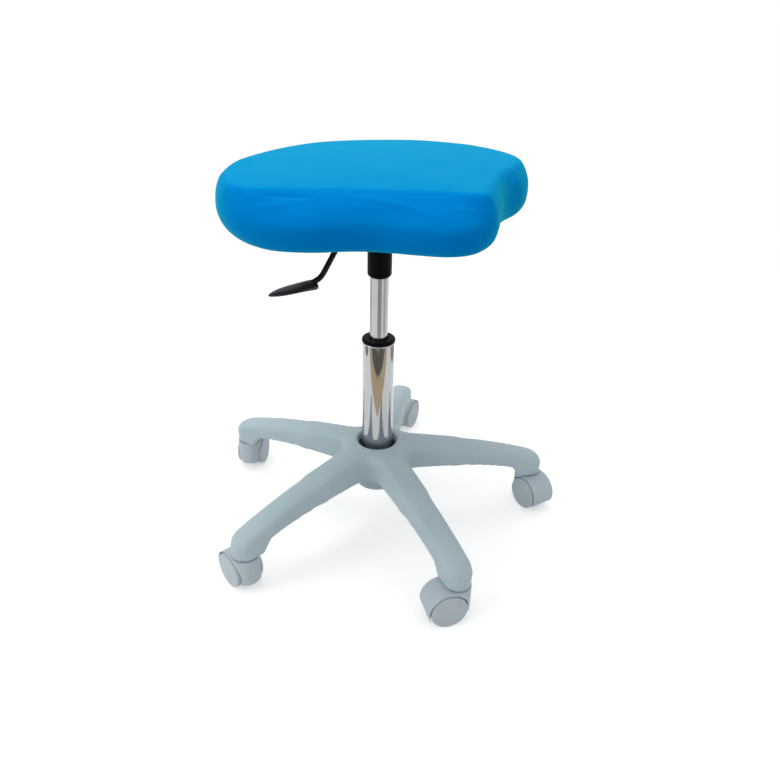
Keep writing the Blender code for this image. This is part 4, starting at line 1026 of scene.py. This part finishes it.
    def pull(self, item: bpy.types.Object) -> None:
        """Raise the vinyl a little along its pulls, which fade out at their ends.

        Args:
            item: The pad, already as fine as it gets.
        """
        moves: dict[int, Vector] = {}
        for height, width, line in self.creases():
            points = [Vector(spot) * MM for spot in line]
            reach = self.pull_reach * width * MM
            low = Vector(map(min, zip(*points))) - Vector((reach, reach, reach))
            high = Vector(map(max, zip(*points))) + Vector((reach, reach, reach))
            for vert in item.data.vertices:
                spot = vert.co
                if not all(a <= v <= b for a, v, b in zip(low, spot, high)):
                    continue
                nearest, share = 1.0, 0.0
                for step, (start, end) in enumerate(zip(points, points[1:])):
                    _, t = intersect_point_line(spot, start, end)
                    t = min(max(t, 0), 1)
                    away = (spot - start.lerp(end, t)).length
                    if away < nearest:
                        nearest, share = away, (step + t) / (len(points) - 1)
                first, last = self.pull_ends
                fade = math.sin(math.pi * min(max(share, first), last)) ** self.pull_fade
                rise = height * MM * fade * math.exp(-(nearest / (width * MM)) ** 2)
                moves[vert.index] = moves.get(vert.index, Vector((0, 0, 0))) + vert.normal * rise
        for index, move in moves.items():
            item.data.vertices[index].co += move

    def board_recess(self) -> bpy.types.Object:
        """Loft the turned-in edge and the recess that the board sits in.

        Returns:
            The open recess, as an object of its own.
        """
        bm = bmesh.new()
        rings = []
        for inset, height in (
            (self.turn_in, self.underside), (self.turn_in, self.pocket_floor),
            (self.board_inset, self.pocket_floor), (self.board_inset, self.pocket_roof),
        ):
            rows = self.outline(self.recess_points)
            rings.append([bm.verts.new((*(spot - side * inset), height)) for spot, side, _ in rows])
        for low, high in zip(rings, rings[1:]):
            for k in range(len(low)):
                j = (k + 1) % len(low)
                bm.faces.new((low[k], low[j], high[j], high[k]))
        bm.faces.new(rings[-1])
        return mesh_object("board_recess", bm)

    def open_underside(self, item: bpy.types.Object) -> None:
        """Cut the pad flat at its underside and let the board's recess into it.

        Args:
            item: The closed pad.
        """
        with editing(item):
            bpy.ops.mesh.select_all(action="SELECT")
            bpy.ops.mesh.bisect(
                plane_co=(0, 0, self.underside), plane_no=(0, 0, 1),
                use_fill=False, clear_inner=True, clear_outer=False,
            )
        recess = self.board_recess()
        make_active(item)
        recess.select_set(True)
        bpy.ops.object.join()
        with editing(item):
            bpy.ops.mesh.select_all(action="DESELECT")
            bpy.ops.mesh.select_mode(type="EDGE")
            bpy.ops.mesh.select_non_manifold(
                extend=False, use_wire=False, use_boundary=True,
                use_multi_face=False, use_non_contiguous=False, use_verts=False,
            )
            bpy.ops.mesh.bridge_edge_loops()
            bpy.ops.mesh.select_all(action="SELECT")
            bpy.ops.mesh.normals_make_consistent(inside=False)

    def build(self) -> None:
        """Model the pad, swell it, and cut the recess for the board."""
        item = self.ring_form("seat_cushion")
        apply_modifier(item, "REMESH", mode="VOXEL", voxel_size=self.voxel)
        self.inflate(item)
        apply_modifier(item, "SMOOTH", factor=0.4, iterations=2)
        apply_modifier(item, "SUBSURF", levels=1, render_levels=1)
        self.pull(item)
        self.open_underside(item)
        soften(item, 50)
        BLUE_VINYL.dress(item)
        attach(item, "seat")
        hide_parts("seat_cover", "seat_foam")
        report(item)


@dataclass
class SeatCarrier:
    """The board, liner, plate and fasteners under the pad, and the sleeve."""

    sleeve_radius: float = 18 * MM
    sleeve_bottom: float = 430.5 * MM
    sleeve_top: float = 490 * MM
    mouth_radius: float = 14.3 * MM
    mouth_rise: float = 1 * MM
    mouth_flare: float = 0.6 * MM
    bore_taper: float = 1.2 * MM
    edge: float = 5 * MM
    edge_steps: int = 8
    fastener_count: int = 4

    def build_sleeve(self) -> None:
        """Turn the black sleeve that grips the gas cylinder's taper."""
        low, outer = self.sleeve_bottom, self.sleeve_radius
        profile = [
            (self.mouth_radius, low + self.mouth_rise), (self.mouth_radius + self.mouth_flare, low),
        ]
        for cosine, sine in quarter_round(self.edge_steps):
            profile.append((outer - self.edge * (1 - sine), low + self.edge * (1 - cosine)))
        profile += [
            (outer, self.sleeve_top), (self.mouth_radius - self.bore_taper, self.sleeve_top),
        ]
        item = turned("sleeve", profile)
        soften(item)
        BLACK_PLASTIC.dress(item)
        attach(item, "seat")
        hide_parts("taper_socket")
        report(item)

    def dress_nodes(self, nodes: dict[str, bpy.types.Object]) -> None:
        """Dress the CAD nodes that stay.

        Args:
            nodes: The CAD nodes by name.
        """
        PLYWOOD.dress(nodes["seat_board"])
        LINER_CLOTH.dress(nodes["seat_liner"])
        BLACK_STEEL.dress(nodes["seat_plate"])
        BLACK_STEEL.dress(nodes["lever_bracket"])
        BARE_STEEL.dress(nodes["lever_pin"])
        for number in range(1, self.fastener_count + 1):
            BARE_STEEL.dress(nodes[f"seat_bolt_{number}"])
            BARE_STEEL.dress(nodes[f"seat_nut_{number}"])


@dataclass
class Column:
    """The gas lift: outer tube, collar, cylinder and what is inside them."""

    tube_radius: float = 25 * MM
    tube_wall: float = 2 * MM
    foot_radius: float = 24 * MM
    foot_height: float = 70 * MM
    taper_top: float = 134 * MM
    tube_top: float = 325.7 * MM
    rod_hole: float = 5.6 * MM
    floor: float = 3 * MM
    foot_edge: float = 0.8 * MM
    rolled_edge: float = 0.9 * MM
    support_low: float = 1 * MM
    support_high: float = 2 * MM
    edge_steps: int = 6
    sides: int = 160
    collar_radius: float = 26 * MM
    collar_bottom: float = 326 * MM
    collar_top: float = 331 * MM
    collar_edge: float = 2.8 * MM
    collar_chamfer: float = 0.6 * MM
    mouth_flare: float = 1.2 * MM
    bush_radius: float = 22.7 * MM
    bush_bottom: float = 251 * MM
    guide_radius: float = 14.3 * MM
    cylinder_radius: float = 14 * MM
    cylinder_wall: float = 2.5 * MM
    cylinder_foot: float = 212 * MM
    cylinder_top: float = 492 * MM
    cylinder_edge: float = 0.6 * MM
    button_radius: float = 4.3 * MM
    button_depth: float = 12 * MM
    foot_wall: float = 1.5 * MM
    foot_hole: float = 7 * MM
    taper: float = 1.2 * MM
    taper_start: float = 430.5 * MM

    def build_tube(self) -> bpy.types.Object:
        """Turn the chromed outer tube, with rings near its ends that keep its shine straight.

        Returns:
            The tube.
        """
        radius, wall = self.tube_radius, self.tube_wall
        bore, rolled = radius - wall, self.rolled_edge
        profile = [
            (bore, self.tube_top), (bore, self.taper_top),
            (self.foot_radius - wall, self.foot_height + self.floor),
            (self.rod_hole, self.foot_height + self.floor), (self.rod_hole, self.foot_height),
            (self.foot_radius - self.foot_edge, self.foot_height),
            (self.foot_radius, self.foot_height + self.foot_edge), (radius, self.taper_top),
            (radius, self.taper_top + self.support_low), (radius, self.tube_top - self.support_high),
        ]
        for cosine, sine in quarter_round(self.edge_steps):
            profile.append((radius - rolled * (1 - cosine), self.tube_top - rolled * (1 - sine)))
        item = turned("column_shell", profile, self.sides)
        soften(item)
        CHROME.dress(item)
        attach(item, "base")
        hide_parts("column_tube")
        return item

    def build_collar(self) -> bpy.types.Object:
        """Turn the black bush with its round-edged collar.

        Returns:
            The bush with its collar.
        """
        edge = self.collar_edge
        profile = [
            (self.guide_radius, self.collar_top - self.mouth_flare),
            (self.guide_radius, self.bush_bottom), (self.bush_radius, self.bush_bottom),
            (self.bush_radius, self.collar_bottom),
            (self.collar_radius - self.collar_chamfer, self.collar_bottom),
            (self.collar_radius, self.collar_bottom + self.collar_chamfer),
        ]
        for cosine, sine in quarter_round(self.edge_steps):
            profile.append((self.collar_radius - edge * (1 - cosine), self.collar_top - edge * (1 - sine)))
        profile.append((self.guide_radius + self.mouth_flare, self.collar_top))
        item = turned("column_collar", profile)
        soften(item)
        BLACK_PLASTIC.dress(item)
        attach(item, "base")
        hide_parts("guide_bush")
        return item

    def build_cylinder(self) -> bpy.types.Object:
        """Turn the polished gas cylinder that slides in the bush.

        Returns:
            The cylinder.
        """
        radius, wall = self.cylinder_radius, self.cylinder_wall
        bore, pin, foot = radius - wall, self.button_radius, self.cylinder_foot
        ceiling, lip = self.cylinder_top - self.button_depth, self.cylinder_foot + self.foot_wall
        edge, near = self.cylinder_edge, self.support_low
        profile = [
            (pin, self.cylinder_top), (pin, ceiling), (bore, ceiling), (bore, lip),
            (self.foot_hole, lip), (self.foot_hole, foot), (radius - edge, foot),
            (radius, foot + edge), (radius, foot + edge + near),
            (radius, self.taper_start - near), (radius, self.taper_start),
            (radius - self.taper, self.cylinder_top),
        ]
        item = turned("cylinder_shell", profile, self.sides)
        soften(item)
        CHROME.dress(item)
        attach(item, "seat")
        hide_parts("gas_cylinder")
        return item

    def dress_nodes(self, nodes: dict[str, bpy.types.Object]) -> None:
        """Dress the CAD nodes inside the tube.

        Args:
            nodes: The CAD nodes by name.
        """
        for name in ("piston_rod", "bearing_lower_washer", "bearing_upper_washer",
                     "bearing_ball_ring", "rod_clip", "release_button"):
            BARE_STEEL.dress(nodes[name])
        BLACK_PLASTIC.dress(nodes["piston"])
        for name in ("rod_seal", "rod_bumper"):
            RUBBER.dress(nodes[name])

    def build(self, nodes: dict[str, bpy.types.Object]) -> None:
        """Build and dress the whole lift.

        Args:
            nodes: The CAD nodes by name.
        """
        for item in (self.build_tube(), self.build_collar(), self.build_cylinder()):
            report(item)
        self.dress_nodes(nodes)


@dataclass
class StarBase:
    """The moulded five-arm base with its steel ring."""

    voxel: float = 2.1 * MM
    smoothing: int = 7
    recess_radius: float = 31 * MM
    recess_bottom: float = 130 * MM
    recess_top: float = 140 * MM

    def shade_recess(self, item: bpy.types.Object) -> None:
        """Paint shade into the narrow recess round the column with a near-black nylon.

        Args:
            item: The star, already dressed.
        """
        # Painted shade: faces deep in the recess take the dark second material.
        item.data.materials.append(RECESS_PAINTED_SHADE.material())
        for face in item.data.polygons:
            deep = self.recess_bottom < face.center.z < self.recess_top
            if deep and face.center.xy.length < self.recess_radius:
                face.material_index = 1

    def build(self, nodes: dict[str, bpy.types.Object]) -> None:
        """Model the star with the soft edges of a moulding.

        Args:
            nodes: The CAD nodes by name.
        """
        item = node_copy(nodes["base_star"], "star_shell")
        apply_modifier(item, "REMESH", mode="VOXEL", voxel_size=self.voxel)
        apply_modifier(item, "SMOOTH", factor=0.5, iterations=self.smoothing)
        make_active(item)
        bpy.ops.object.shade_smooth()
        BASE_NYLON.dress(item)
        self.shade_recess(item)
        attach(item, "base")
        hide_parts("base_star")
        BLACK_STEEL.dress(nodes["hub_ring"])
        report(item)


@dataclass
class Casters:
    """Five twin-wheel casters under the ends of the arms."""

    wheel_radius: float = 27.5 * MM
    wheel_width: float = 14 * MM
    side_gap: float = 1 * MM
    web: float = 16 * MM
    width: float = 42 * MM
    trail: float = 17 * MM
    wheel_gap: float = 1.8 * MM
    wall: float = 1.7 * MM
    ground_gap: float = 16 * MM
    stem_root: float = 4.8 * MM
    stem_depth: float = 22.3 * MM
    hood_edge: float = 1.2 * MM
    wheel_edge: float = 2.2 * MM
    axle_hole: float = 3.3 * MM
    axle_hole_depth: float = 10.3 * MM
    rim_inset_share: float = 0.13
    ring_inset_share: float = 0.2
    dome_steps: tuple[float, ...] = (0.10 * MM, 0.16 * MM, 0.08 * MM, 0.03 * MM)
    back_inset_share: float = 0.25
    back_depth: float = 1.2 * MM
    overlap: float = 1 * MM
    top_gap: float = 0.01 * MM
    overrun: float = 5 * MM
    tail_overrun: float = 4 * MM
    body_overrun: float = 3 * MM
    fine_sides: int = 128
    arm_turn_deg: float = 9
    stem_circle: float = 269 * MM
    yaws_deg: tuple[float, ...] = (-58, 65, 83, 132, 197)

    def hood_blank(self) -> bpy.types.Object:
        """Join the wheel cover and the stem's block, and cut them round in plan.

        Returns:
            The solid hood, cut off above the floor.
        """
        half, radius = self.width / 2, self.wheel_radius + self.wheel_gap + self.wall
        axle = Vector((self.trail, 0, self.wheel_radius))
        across = Vector((0, half + self.body_overrun, 0))
        item = round_bar("caster_body", radius, axle - across, axle + across, self.fine_sides)
        top = self.wheel_radius + radius
        wide = half + self.overrun
        corner = Vector((self.trail + self.overlap, wide, top - self.top_gap))
        combine(item, block("stem_block", Vector((-wide, -wide, 0)), corner), "UNION")
        plan = round_bar(
            "plan_nose", half, Vector((0, 0, -self.overrun)), Vector((0, 0, top + self.overrun)),
            self.fine_sides,
        )
        tail = block(
            "plan_tail", Vector((0, -half, -self.tail_overrun)),
            Vector((self.trail + 2 * radius, half, top + self.tail_overrun)),
        )
        combine(plan, tail, "UNION")
        combine(item, plan, "INTERSECT")
        with editing(item):
            bpy.ops.mesh.select_all(action="SELECT")
            bpy.ops.mesh.bisect(
                plane_co=(0, 0, self.ground_gap), plane_no=(0, 0, 1),
                use_fill=True, clear_inner=True, clear_outer=False,
            )
        outward(item)
        return item

    def hood(self) -> bpy.types.Object:
        """Model the moulded hood with its two wheel bays.

        Returns:
            The hood, with its stem's axis through the origin.
        """
        item = self.hood_blank()
        half, bay = self.width / 2, self.wheel_radius + self.wheel_gap
        for side in (-1, 1):
            near = Vector((self.trail, side * self.web / 2, self.wheel_radius))
            far = Vector((self.trail, side * (half + self.overrun), self.wheel_radius))
            combine(item, round_bar("bay", bay, near, far, self.fine_sides), "DIFFERENCE")
        top = self.wheel_radius + bay + self.wall
        well = round_bar(
            "stem_well", self.stem_root, Vector((0, 0, top - self.stem_depth)),
            Vector((0, 0, top + self.overrun)), 48,
        )
        combine(item, well, "DIFFERENCE")
        axle_half = Vector((0, half, 0))
        axle = Vector((self.trail, 0, self.wheel_radius))
        bore = round_bar("axle_bore", self.axle_hole, axle - axle_half, axle + axle_half, 32)
        combine(item, bore, "DIFFERENCE")
        outward(item)
        round_edges(item, self.hood_edge, 3, 40)
        soften(item, 32)
        return item

    def wheel(self) -> bpy.types.Object:
        """Model one nylon wheel: a plain, slightly domed disc with a round edge.

        Returns:
            The left wheel, in its place under the hood.
        """
        start = Vector((self.trail, self.web / 2 + self.side_gap, self.wheel_radius))
        end = start + Vector((0, self.wheel_width, 0))
        item = round_bar("caster_disc", self.wheel_radius, start, end, 96)
        with editing(item):
            select_faces(item, lambda place, normal: normal.y > 0.9)
            for ring, rise in enumerate(self.dome_steps):
                share = self.ring_inset_share if ring else self.rim_inset_share
                bpy.ops.mesh.inset(thickness=self.wheel_radius * share)
                bpy.ops.transform.translate(value=(0, rise, 0))
            select_faces(item, lambda place, normal: normal.y < -0.9)
            bpy.ops.mesh.inset(thickness=self.wheel_radius * self.back_inset_share)
            bpy.ops.transform.translate(value=(0, self.back_depth, 0))
        bore = round_bar(
            "axle_hole", self.axle_hole, start - Vector((0, self.overrun, 0)),
            start + Vector((0, self.axle_hole_depth, 0)), 32,
        )
        combine(item, bore, "DIFFERENCE")
        outward(item)
        round_edges(item, self.wheel_edge, 5, 60)
        soften(item, 40)
        return item

    def spots(self) -> list[Matrix]:
        """Where each caster stands, and which way it trails.

        Returns:
            One matrix for each caster, in the order of the arms.
        """
        places = []
        for index, yaw in enumerate(self.yaws_deg):
            turn = math.radians(self.arm_turn_deg + 360 * index / ARM_COUNT)
            foot = Vector((math.cos(turn), math.sin(turn), 0)) * self.stem_circle
            places.append(Matrix.Translation(foot) @ Matrix.Rotation(math.radians(yaw), 4, "Z"))
        return places

    def build(self, nodes: dict[str, bpy.types.Object]) -> None:
        """Model one hood and one wheel, and copy them to every arm.

        Args:
            nodes: The CAD nodes by name.
        """
        hood, wheel = self.hood(), self.wheel()
        HOOD_NYLON.dress(hood)
        WHEEL_NYLON.dress(wheel)
        half_turn = Matrix.Rotation(math.pi, 4, "Z")
        about = Matrix.Translation((self.trail, 0, 0))
        for number, move in enumerate(self.spots(), 1):
            shell = copy_of(hood, f"hood_shell_{number}", move)
            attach(shell, f"caster_{number}")
            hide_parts(f"caster_hood_{number}")
            left = copy_of(wheel, f"disc_left_{number}", move)
            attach(left, f"wheel_left_{number}")
            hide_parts(f"caster_wheel_left_{number}")
            right = copy_of(wheel, f"disc_right_{number}", move @ about @ half_turn @ about.inverted())
            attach(right, f"wheel_right_{number}")
            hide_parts(f"caster_wheel_right_{number}")
            BARE_STEEL.dress(nodes[f"caster_stem_{number}"])
            BARE_STEEL.dress(nodes[f"caster_axle_{number}"])
        for blank in (hood, wheel):
            report(blank)
            bpy.data.objects.remove(blank, do_unlink=True)


@dataclass
class Lever:
    """The height lever: a bent rod with a leaf-shaped paddle."""

    turn_deg: float = -55.7
    rod_radius: float = 4 * MM
    height: float = 504 * MM
    tail: float = 5 * MM
    bend_reach: float = 58 * MM
    knee_reach: float = 103 * MM
    knee_across: float = 11 * MM
    knee_height: float = 451 * MM
    end_reach: float = 127 * MM
    grip_reach: float = 113 * MM
    grip_across: float = 14 * MM
    grip_height: float = 444.5 * MM
    grip_length: float = 71 * MM
    grip_width: float = 29 * MM
    blade: float = 5.5 * MM
    neck: float = 12 * MM
    drop: float = 2.5 * MM
    bend_steps: int = 8
    paddle_sides: int = 24
    squareness: float = 0.8

    def stations(self) -> list[tuple[float, float, float, float]]:
        """Sections of the paddle: shares of length, width, neck and drop.

        Returns:
            The sections, from the thick end to the tip.
        """
        return [
            (0.00, 0.70, 0.80, 0.0), (0.04, 0.86, 1.00, 0.0), (0.14, 0.90, 0.86, 0.0),
            (0.24, 0.93, 0.66, 0.0), (0.33, 0.97, 0.40, 0.05), (0.42, 1.00, 0.18, 0.1),
            (0.51, 0.99, 0.06, 0.2), (0.60, 0.96, 0.00, 0.3), (0.69, 0.88, 0.00, 0.45),
            (0.78, 0.76, -0.02, 0.6), (0.86, 0.59, -0.10, 0.72), (0.92, 0.42, -0.20, 0.8),
            (0.97, 0.24, -0.38, 0.93), (1.00, 0.10, -0.55, 1.0),
        ]

    def path(self) -> list[Vector]:
        """Centre line of the rod, with its round bends.

        Returns:
            Points of the line, from the bracket to the paddle.
        """
        points = [
            Vector((0, self.tail, self.height)), Vector((0, -self.bend_reach, self.height)),
            Vector((self.knee_across, -self.knee_reach, self.knee_height)),
            Vector((self.grip_across, -self.end_reach, self.grip_height)),
        ]
        line = [points[0]]
        for before, corner, after in zip(points, points[1:], points[2:]):
            start = corner + (before - corner).normalized() * self.rod_radius * 2
            stop = corner + (after - corner).normalized() * self.rod_radius * 2
            for i in range(self.bend_steps + 1):
                t = i / self.bend_steps
                line.append((1 - t) ** 2 * start + 2 * t * (1 - t) * corner + t ** 2 * stop)
        line.append(points[-1])
        return line

    def build_rod(self) -> bpy.types.Object:
        """Bend the rod along its path.

        Returns:
            The rod.
        """
        deselect_all()
        curve = bpy.data.curves.new("rod_line", "CURVE")
        curve.dimensions = "3D"
        curve.bevel_depth = self.rod_radius
        curve.bevel_resolution = 8
        curve.use_fill_caps = True
        spline = curve.splines.new("POLY")
        line = self.path()
        spline.points.add(len(line) - 1)
        for point, spot in zip(spline.points, line):
            point.co = (*spot, 1)
        item = bpy.data.objects.new("lever_bar", curve)
        bpy.context.scene.collection.objects.link(item)
        make_active(item)
        bpy.ops.object.convert(target="MESH")
        item = bpy.context.object
        item.rotation_euler = (0, 0, math.radians(self.turn_deg))
        settle_place(item, "lever_bar")
        outward(item)
        soften(item, 50)
        BLACK_STEEL.dress(item)
        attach(item, "lever")
        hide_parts("lever_rod")
        return item

    def build_paddle(self) -> bpy.types.Object:
        """Draw the paddle section by section from its thick end to its tip.

        Returns:
            The paddle.
        """
        deselect_all()
        bpy.ops.mesh.primitive_circle_add(
            vertices=self.paddle_sides, radius=1 * MM, rotation=(math.pi / 2, 0, 0),
        )
        item = settle_place(bpy.context.object, "lever_paddle")
        along, wide, high = 0.0, 1 * MM, 1 * MM
        across, height = 0.0, 0.0
        with editing(item):
            bpy.ops.mesh.select_all(action="SELECT")
            for step, (share, width, thick, fall) in enumerate(self.stations()):
                half_width = width * self.grip_width / 2
                half_height = (self.blade + thick * (self.neck - self.blade)) / 2
                place = -self.grip_reach - share * self.grip_length
                level = self.grip_height - fall * self.drop
                move = (self.grip_across - across, place - along, level - height)
                if step == 0:
                    bpy.ops.transform.translate(value=move)
                else:
                    bpy.ops.mesh.extrude_region_move(TRANSFORM_OT_translate={"value": move})
                bpy.ops.transform.resize(
                    value=(half_width / wide, 1, half_height / high),
                    center_override=(self.grip_across, place, level),
                )
                along, wide, high, across, height = place, half_width, half_height, self.grip_across, level
            bpy.ops.mesh.edge_face_add()
            select_points(item, lambda spot: spot.y > -self.grip_reach - 0.1 * MM)
            bpy.ops.mesh.edge_face_add()
        outward(item)
        self.square_up(item)
        apply_modifier(item, "SUBSURF", levels=2, render_levels=2)
        item.rotation_euler = (0, 0, math.radians(self.turn_deg))
        settle_place(item, "lever_paddle")
        soften(item, 50)
        PADDLE_PLASTIC.dress(item)
        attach(item, "lever")
        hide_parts("lever_grip")
        return item

    def square_up(self, item: bpy.types.Object) -> None:
        """Fill out the round sections a little, as moulded plastic is.

        Args:
            item: The paddle, before it is made finer and turned.
        """
        for vert in item.data.vertices:
            share = min(max((-self.grip_reach - vert.co.y) / self.grip_length, 0), 1)
            rows = self.stations()
            k = max(i for i in range(len(rows)) if rows[i][0] <= share + 1e-6)
            half = rows[k][1] * self.grip_width / 2
            offset = (vert.co.x - self.grip_across) / half
            fuller = math.copysign(min(abs(offset), 1) ** self.squareness, offset)
            vert.co.x = self.grip_across + half * fuller

    def build(self) -> None:
        """Build the lever's rod and paddle."""
        for item in (self.build_rod(), self.build_paddle()):
            report(item)


@dataclass
class Studio:
    """Floor, light and the camera of the photograph."""

    camera_place: tuple[float, float, float] = (0.01942, -1.00386, 0.80786)
    pitch_deg: float = 29.6
    roll_deg: float = 1.4
    lens: float = 33.306
    sensor: float = 36
    clip: tuple[float, float] = (0.01, 50)
    floor_size: float = 16.0
    floor_colour: Colour = (0.82, 0.82, 0.82)
    floor_near: float = 0.55
    floor_far: float = 1.9
    floor_glow: float = 0.42
    key_place: tuple[float, float, float] = (-0.4, 0.5, 2.4)
    key_size: float = 1.6
    key_power: float = 14.0
    side_place: tuple[float, float, float] = (-2.0, -0.9, 1.3)
    side_size: float = 1.2
    side_power: float = 11.0
    aim_height: float = 0.4
    ambient: float = 0.78

    def add_camera(self) -> None:
        """Set the camera where the photograph was taken from."""
        deselect_all()
        bpy.ops.object.camera_add(location=self.camera_place)
        camera = bpy.context.object
        camera.name = "camera"
        pitch, roll = math.radians(self.pitch_deg), math.radians(self.roll_deg)
        look = Vector((0, math.cos(pitch), -math.sin(pitch)))
        right = Vector((1, 0, 0))
        up = right.cross(look)
        across = right * math.cos(roll) + up * math.sin(roll)
        rise = up * math.cos(roll) - right * math.sin(roll)
        turn = Matrix((across, rise, -look)).transposed()
        camera.matrix_world = Matrix.Translation(self.camera_place) @ turn.to_4x4()
        camera.data.lens = self.lens
        camera.data.sensor_width = self.sensor
        camera.data.clip_start, camera.data.clip_end = self.clip
        camera.data.dof.use_dof = False
        bpy.context.scene.camera = camera

    def add_floor(self) -> None:
        """Lay a pale floor that keeps the stool's shadow."""
        deselect_all()
        bpy.ops.mesh.primitive_plane_add(size=self.floor_size, location=(0, 0, 0))
        floor = bpy.context.object
        floor.name = "floor"
        sheet = Sheet("pale_floor")
        inputs = sheet.shader.inputs
        inputs["Roughness"].default_value = 0.9
        inputs["Specular IOR Level"].default_value = 0.0
        reach = sheet.node("ShaderNodeVectorMath", operation="LENGTH")
        sheet.link(sheet.place, reach.inputs[0])
        away = sheet.spread(reach.outputs["Value"], 0, 1, self.floor_near, self.floor_far)
        sheet.link(sheet.blend(away, self.floor_colour, (0, 0, 0)), inputs["Base Color"])
        path = sheet.node("ShaderNodeLightPath")
        seen = sheet.maths("MAXIMUM", path.outputs["Is Camera Ray"], path.outputs["Is Glossy Ray"])
        inputs["Emission Color"].default_value = (1, 1, 1, 1)
        lift = sheet.spread(away, self.floor_glow, 1)
        sheet.link(sheet.maths("MULTIPLY", seen, lift), inputs["Emission Strength"])
        floor.data.materials.append(sheet.material)

    def cards(self) -> list[tuple[str, Colour, list[tuple[float, float]]]]:
        """List the glowing cards that give the chrome painted reflections of a floor and room.

        Returns:
            Each card's name and colour, and its corners as (reach, degrees).
        """
        return [
            ("brown_card", (0.80, 0.62, 0.40), [
                (0.35, 0), (0.383, 14), (0.426, 28), (0.469, 40), (0.54, 52), (0.67, 63),
                (0.72, 62), (0.72, 30), (0.72, -30), (0.72, -62), (0.67, -63), (0.54, -52),
                (0.469, -40), (0.426, -28), (0.383, -14),
            ]),
            ("slate_card", (0.18, 0.175, 0.145), [
                (0.53, 0), (0.557, 22), (0.593, 35), (0.66, 46), (0.72, 46), (0.72, 20),
                (0.72, -20), (0.72, -46), (0.66, -46), (0.593, -35), (0.557, -22),
            ]),
            ("olive_card", (0.42, 0.37, 0.27), [(0.64, -74), (0.72, -74), (0.72, -104), (0.64, -104)]),
            ("rust_card", (0.60, 0.40, 0.34), [(0.62, 96), (0.72, 96), (0.72, 140), (0.62, 140)]),
            ("dusk_card", (0.50, 0.51, 0.52), [(0.74, -16), (2.6, -16), (2.6, 30), (0.74, 30)]),
            ("post_card", (0.74, 0.75, 0.77), [(0.74, 56), (2.6, 56), (2.6, 88), (0.74, 88)]),
            ("haze_card", (0.78, 0.79, 0.81), [(0.74, -150), (2.6, -150), (2.6, -102), (0.74, -102)]),
        ]

    def add_cards(self) -> None:
        """Lay flat glowing cards in front of the stool, seen only by glossy rays, as painted reflections
        for the chrome.
        """
        for level, (name, colour, corners) in enumerate(self.cards(), 1):
            mesh = bpy.data.meshes.new(name)
            spots = []
            for reach, degrees in corners:
                angle = math.radians(degrees - 90)
                spots.append((reach * math.cos(angle), reach * math.sin(angle), level * MM))
            mesh.from_pydata(spots, [], [tuple(range(len(spots)))])
            card = bpy.data.objects.new(name, mesh)
            bpy.context.scene.collection.objects.link(card)
            sheet = Sheet(name)
            inputs = sheet.shader.inputs
            inputs["Base Color"].default_value = (0, 0, 0, 1)
            inputs["Specular IOR Level"].default_value = 0
            # Painted reflection: each card glows with its colour, though it is no lamp.
            inputs["Emission Color"].default_value = (*colour, 1)
            inputs["Emission Strength"].default_value = 1
            mesh.materials.append(sheet.material)
            for ray in ("camera", "diffuse", "shadow", "transmission", "volume_scatter"):
                setattr(card, f"visible_{ray}", False)

    def add_world(self) -> None:
        """Fill the room with white for the eye and soft light for the stool."""
        world = bpy.data.worlds.new("room")
        bpy.context.scene.world = world
        world.use_nodes = True
        tree = world.node_tree
        backdrop = tree.nodes["Background"]
        backdrop.inputs["Color"].default_value = (1, 1, 1, 1)
        path = tree.nodes.new("ShaderNodeLightPath")
        seen = path.outputs["Is Camera Ray"]
        for ray in ("Is Glossy Ray", "Is Transmission Ray"):
            either = tree.nodes.new("ShaderNodeMath")
            either.operation = "MAXIMUM"
            tree.links.new(seen, either.inputs[0])
            tree.links.new(path.outputs[ray], either.inputs[1])
            seen = either.outputs[0]
        strength = tree.nodes.new("ShaderNodeMapRange")
        strength.inputs["To Min"].default_value = self.ambient
        strength.inputs["To Max"].default_value = 1.0
        tree.links.new(seen, strength.inputs["Value"])
        tree.links.new(strength.outputs["Result"], backdrop.inputs["Strength"])

    def add_lamp(self, name: str, place: Sequence[float], size: float, power: float) -> None:
        """Hang a soft lamp that faces the seat.

        Args:
            name: The lamp's name.
            place: Where it hangs.
            size: Its width in metres.
            power: Its power in watts.
        """
        deselect_all()
        aim = Vector((0, 0, self.aim_height)) - Vector(place)
        turn = aim.to_track_quat("-Z", "Y").to_euler()
        bpy.ops.object.light_add(type="AREA", location=place, rotation=turn)
        lamp = bpy.context.object
        lamp.name = name
        lamp.data.shape = "DISK"
        lamp.data.size = size
        lamp.data.energy = power

    def build(self) -> None:
        """Set up the whole studio."""
        self.add_camera()
        self.add_floor()
        self.add_cards()
        self.add_world()
        self.add_lamp("key_lamp", self.key_place, self.key_size, self.key_power)
        self.add_lamp("left_lamp", self.side_place, self.side_size, self.side_power)
        bpy.context.scene.view_settings.view_transform = "Standard"


def main() -> None:
    """Build the stool's looks round the CAD frame."""
    logging.basicConfig(level=logging.INFO, format="%(relativeCreated)d %(message)s")
    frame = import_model()
    nodes = frame["nodes"]
    Studio().build()
    StarBase().build(nodes)
    Casters().build(nodes)
    Column().build(nodes)
    carrier = SeatCarrier()
    carrier.build_sleeve()
    carrier.dress_nodes(nodes)
    Lever().build()
    Cushion().build()


if __name__ == "__main__":
    main()
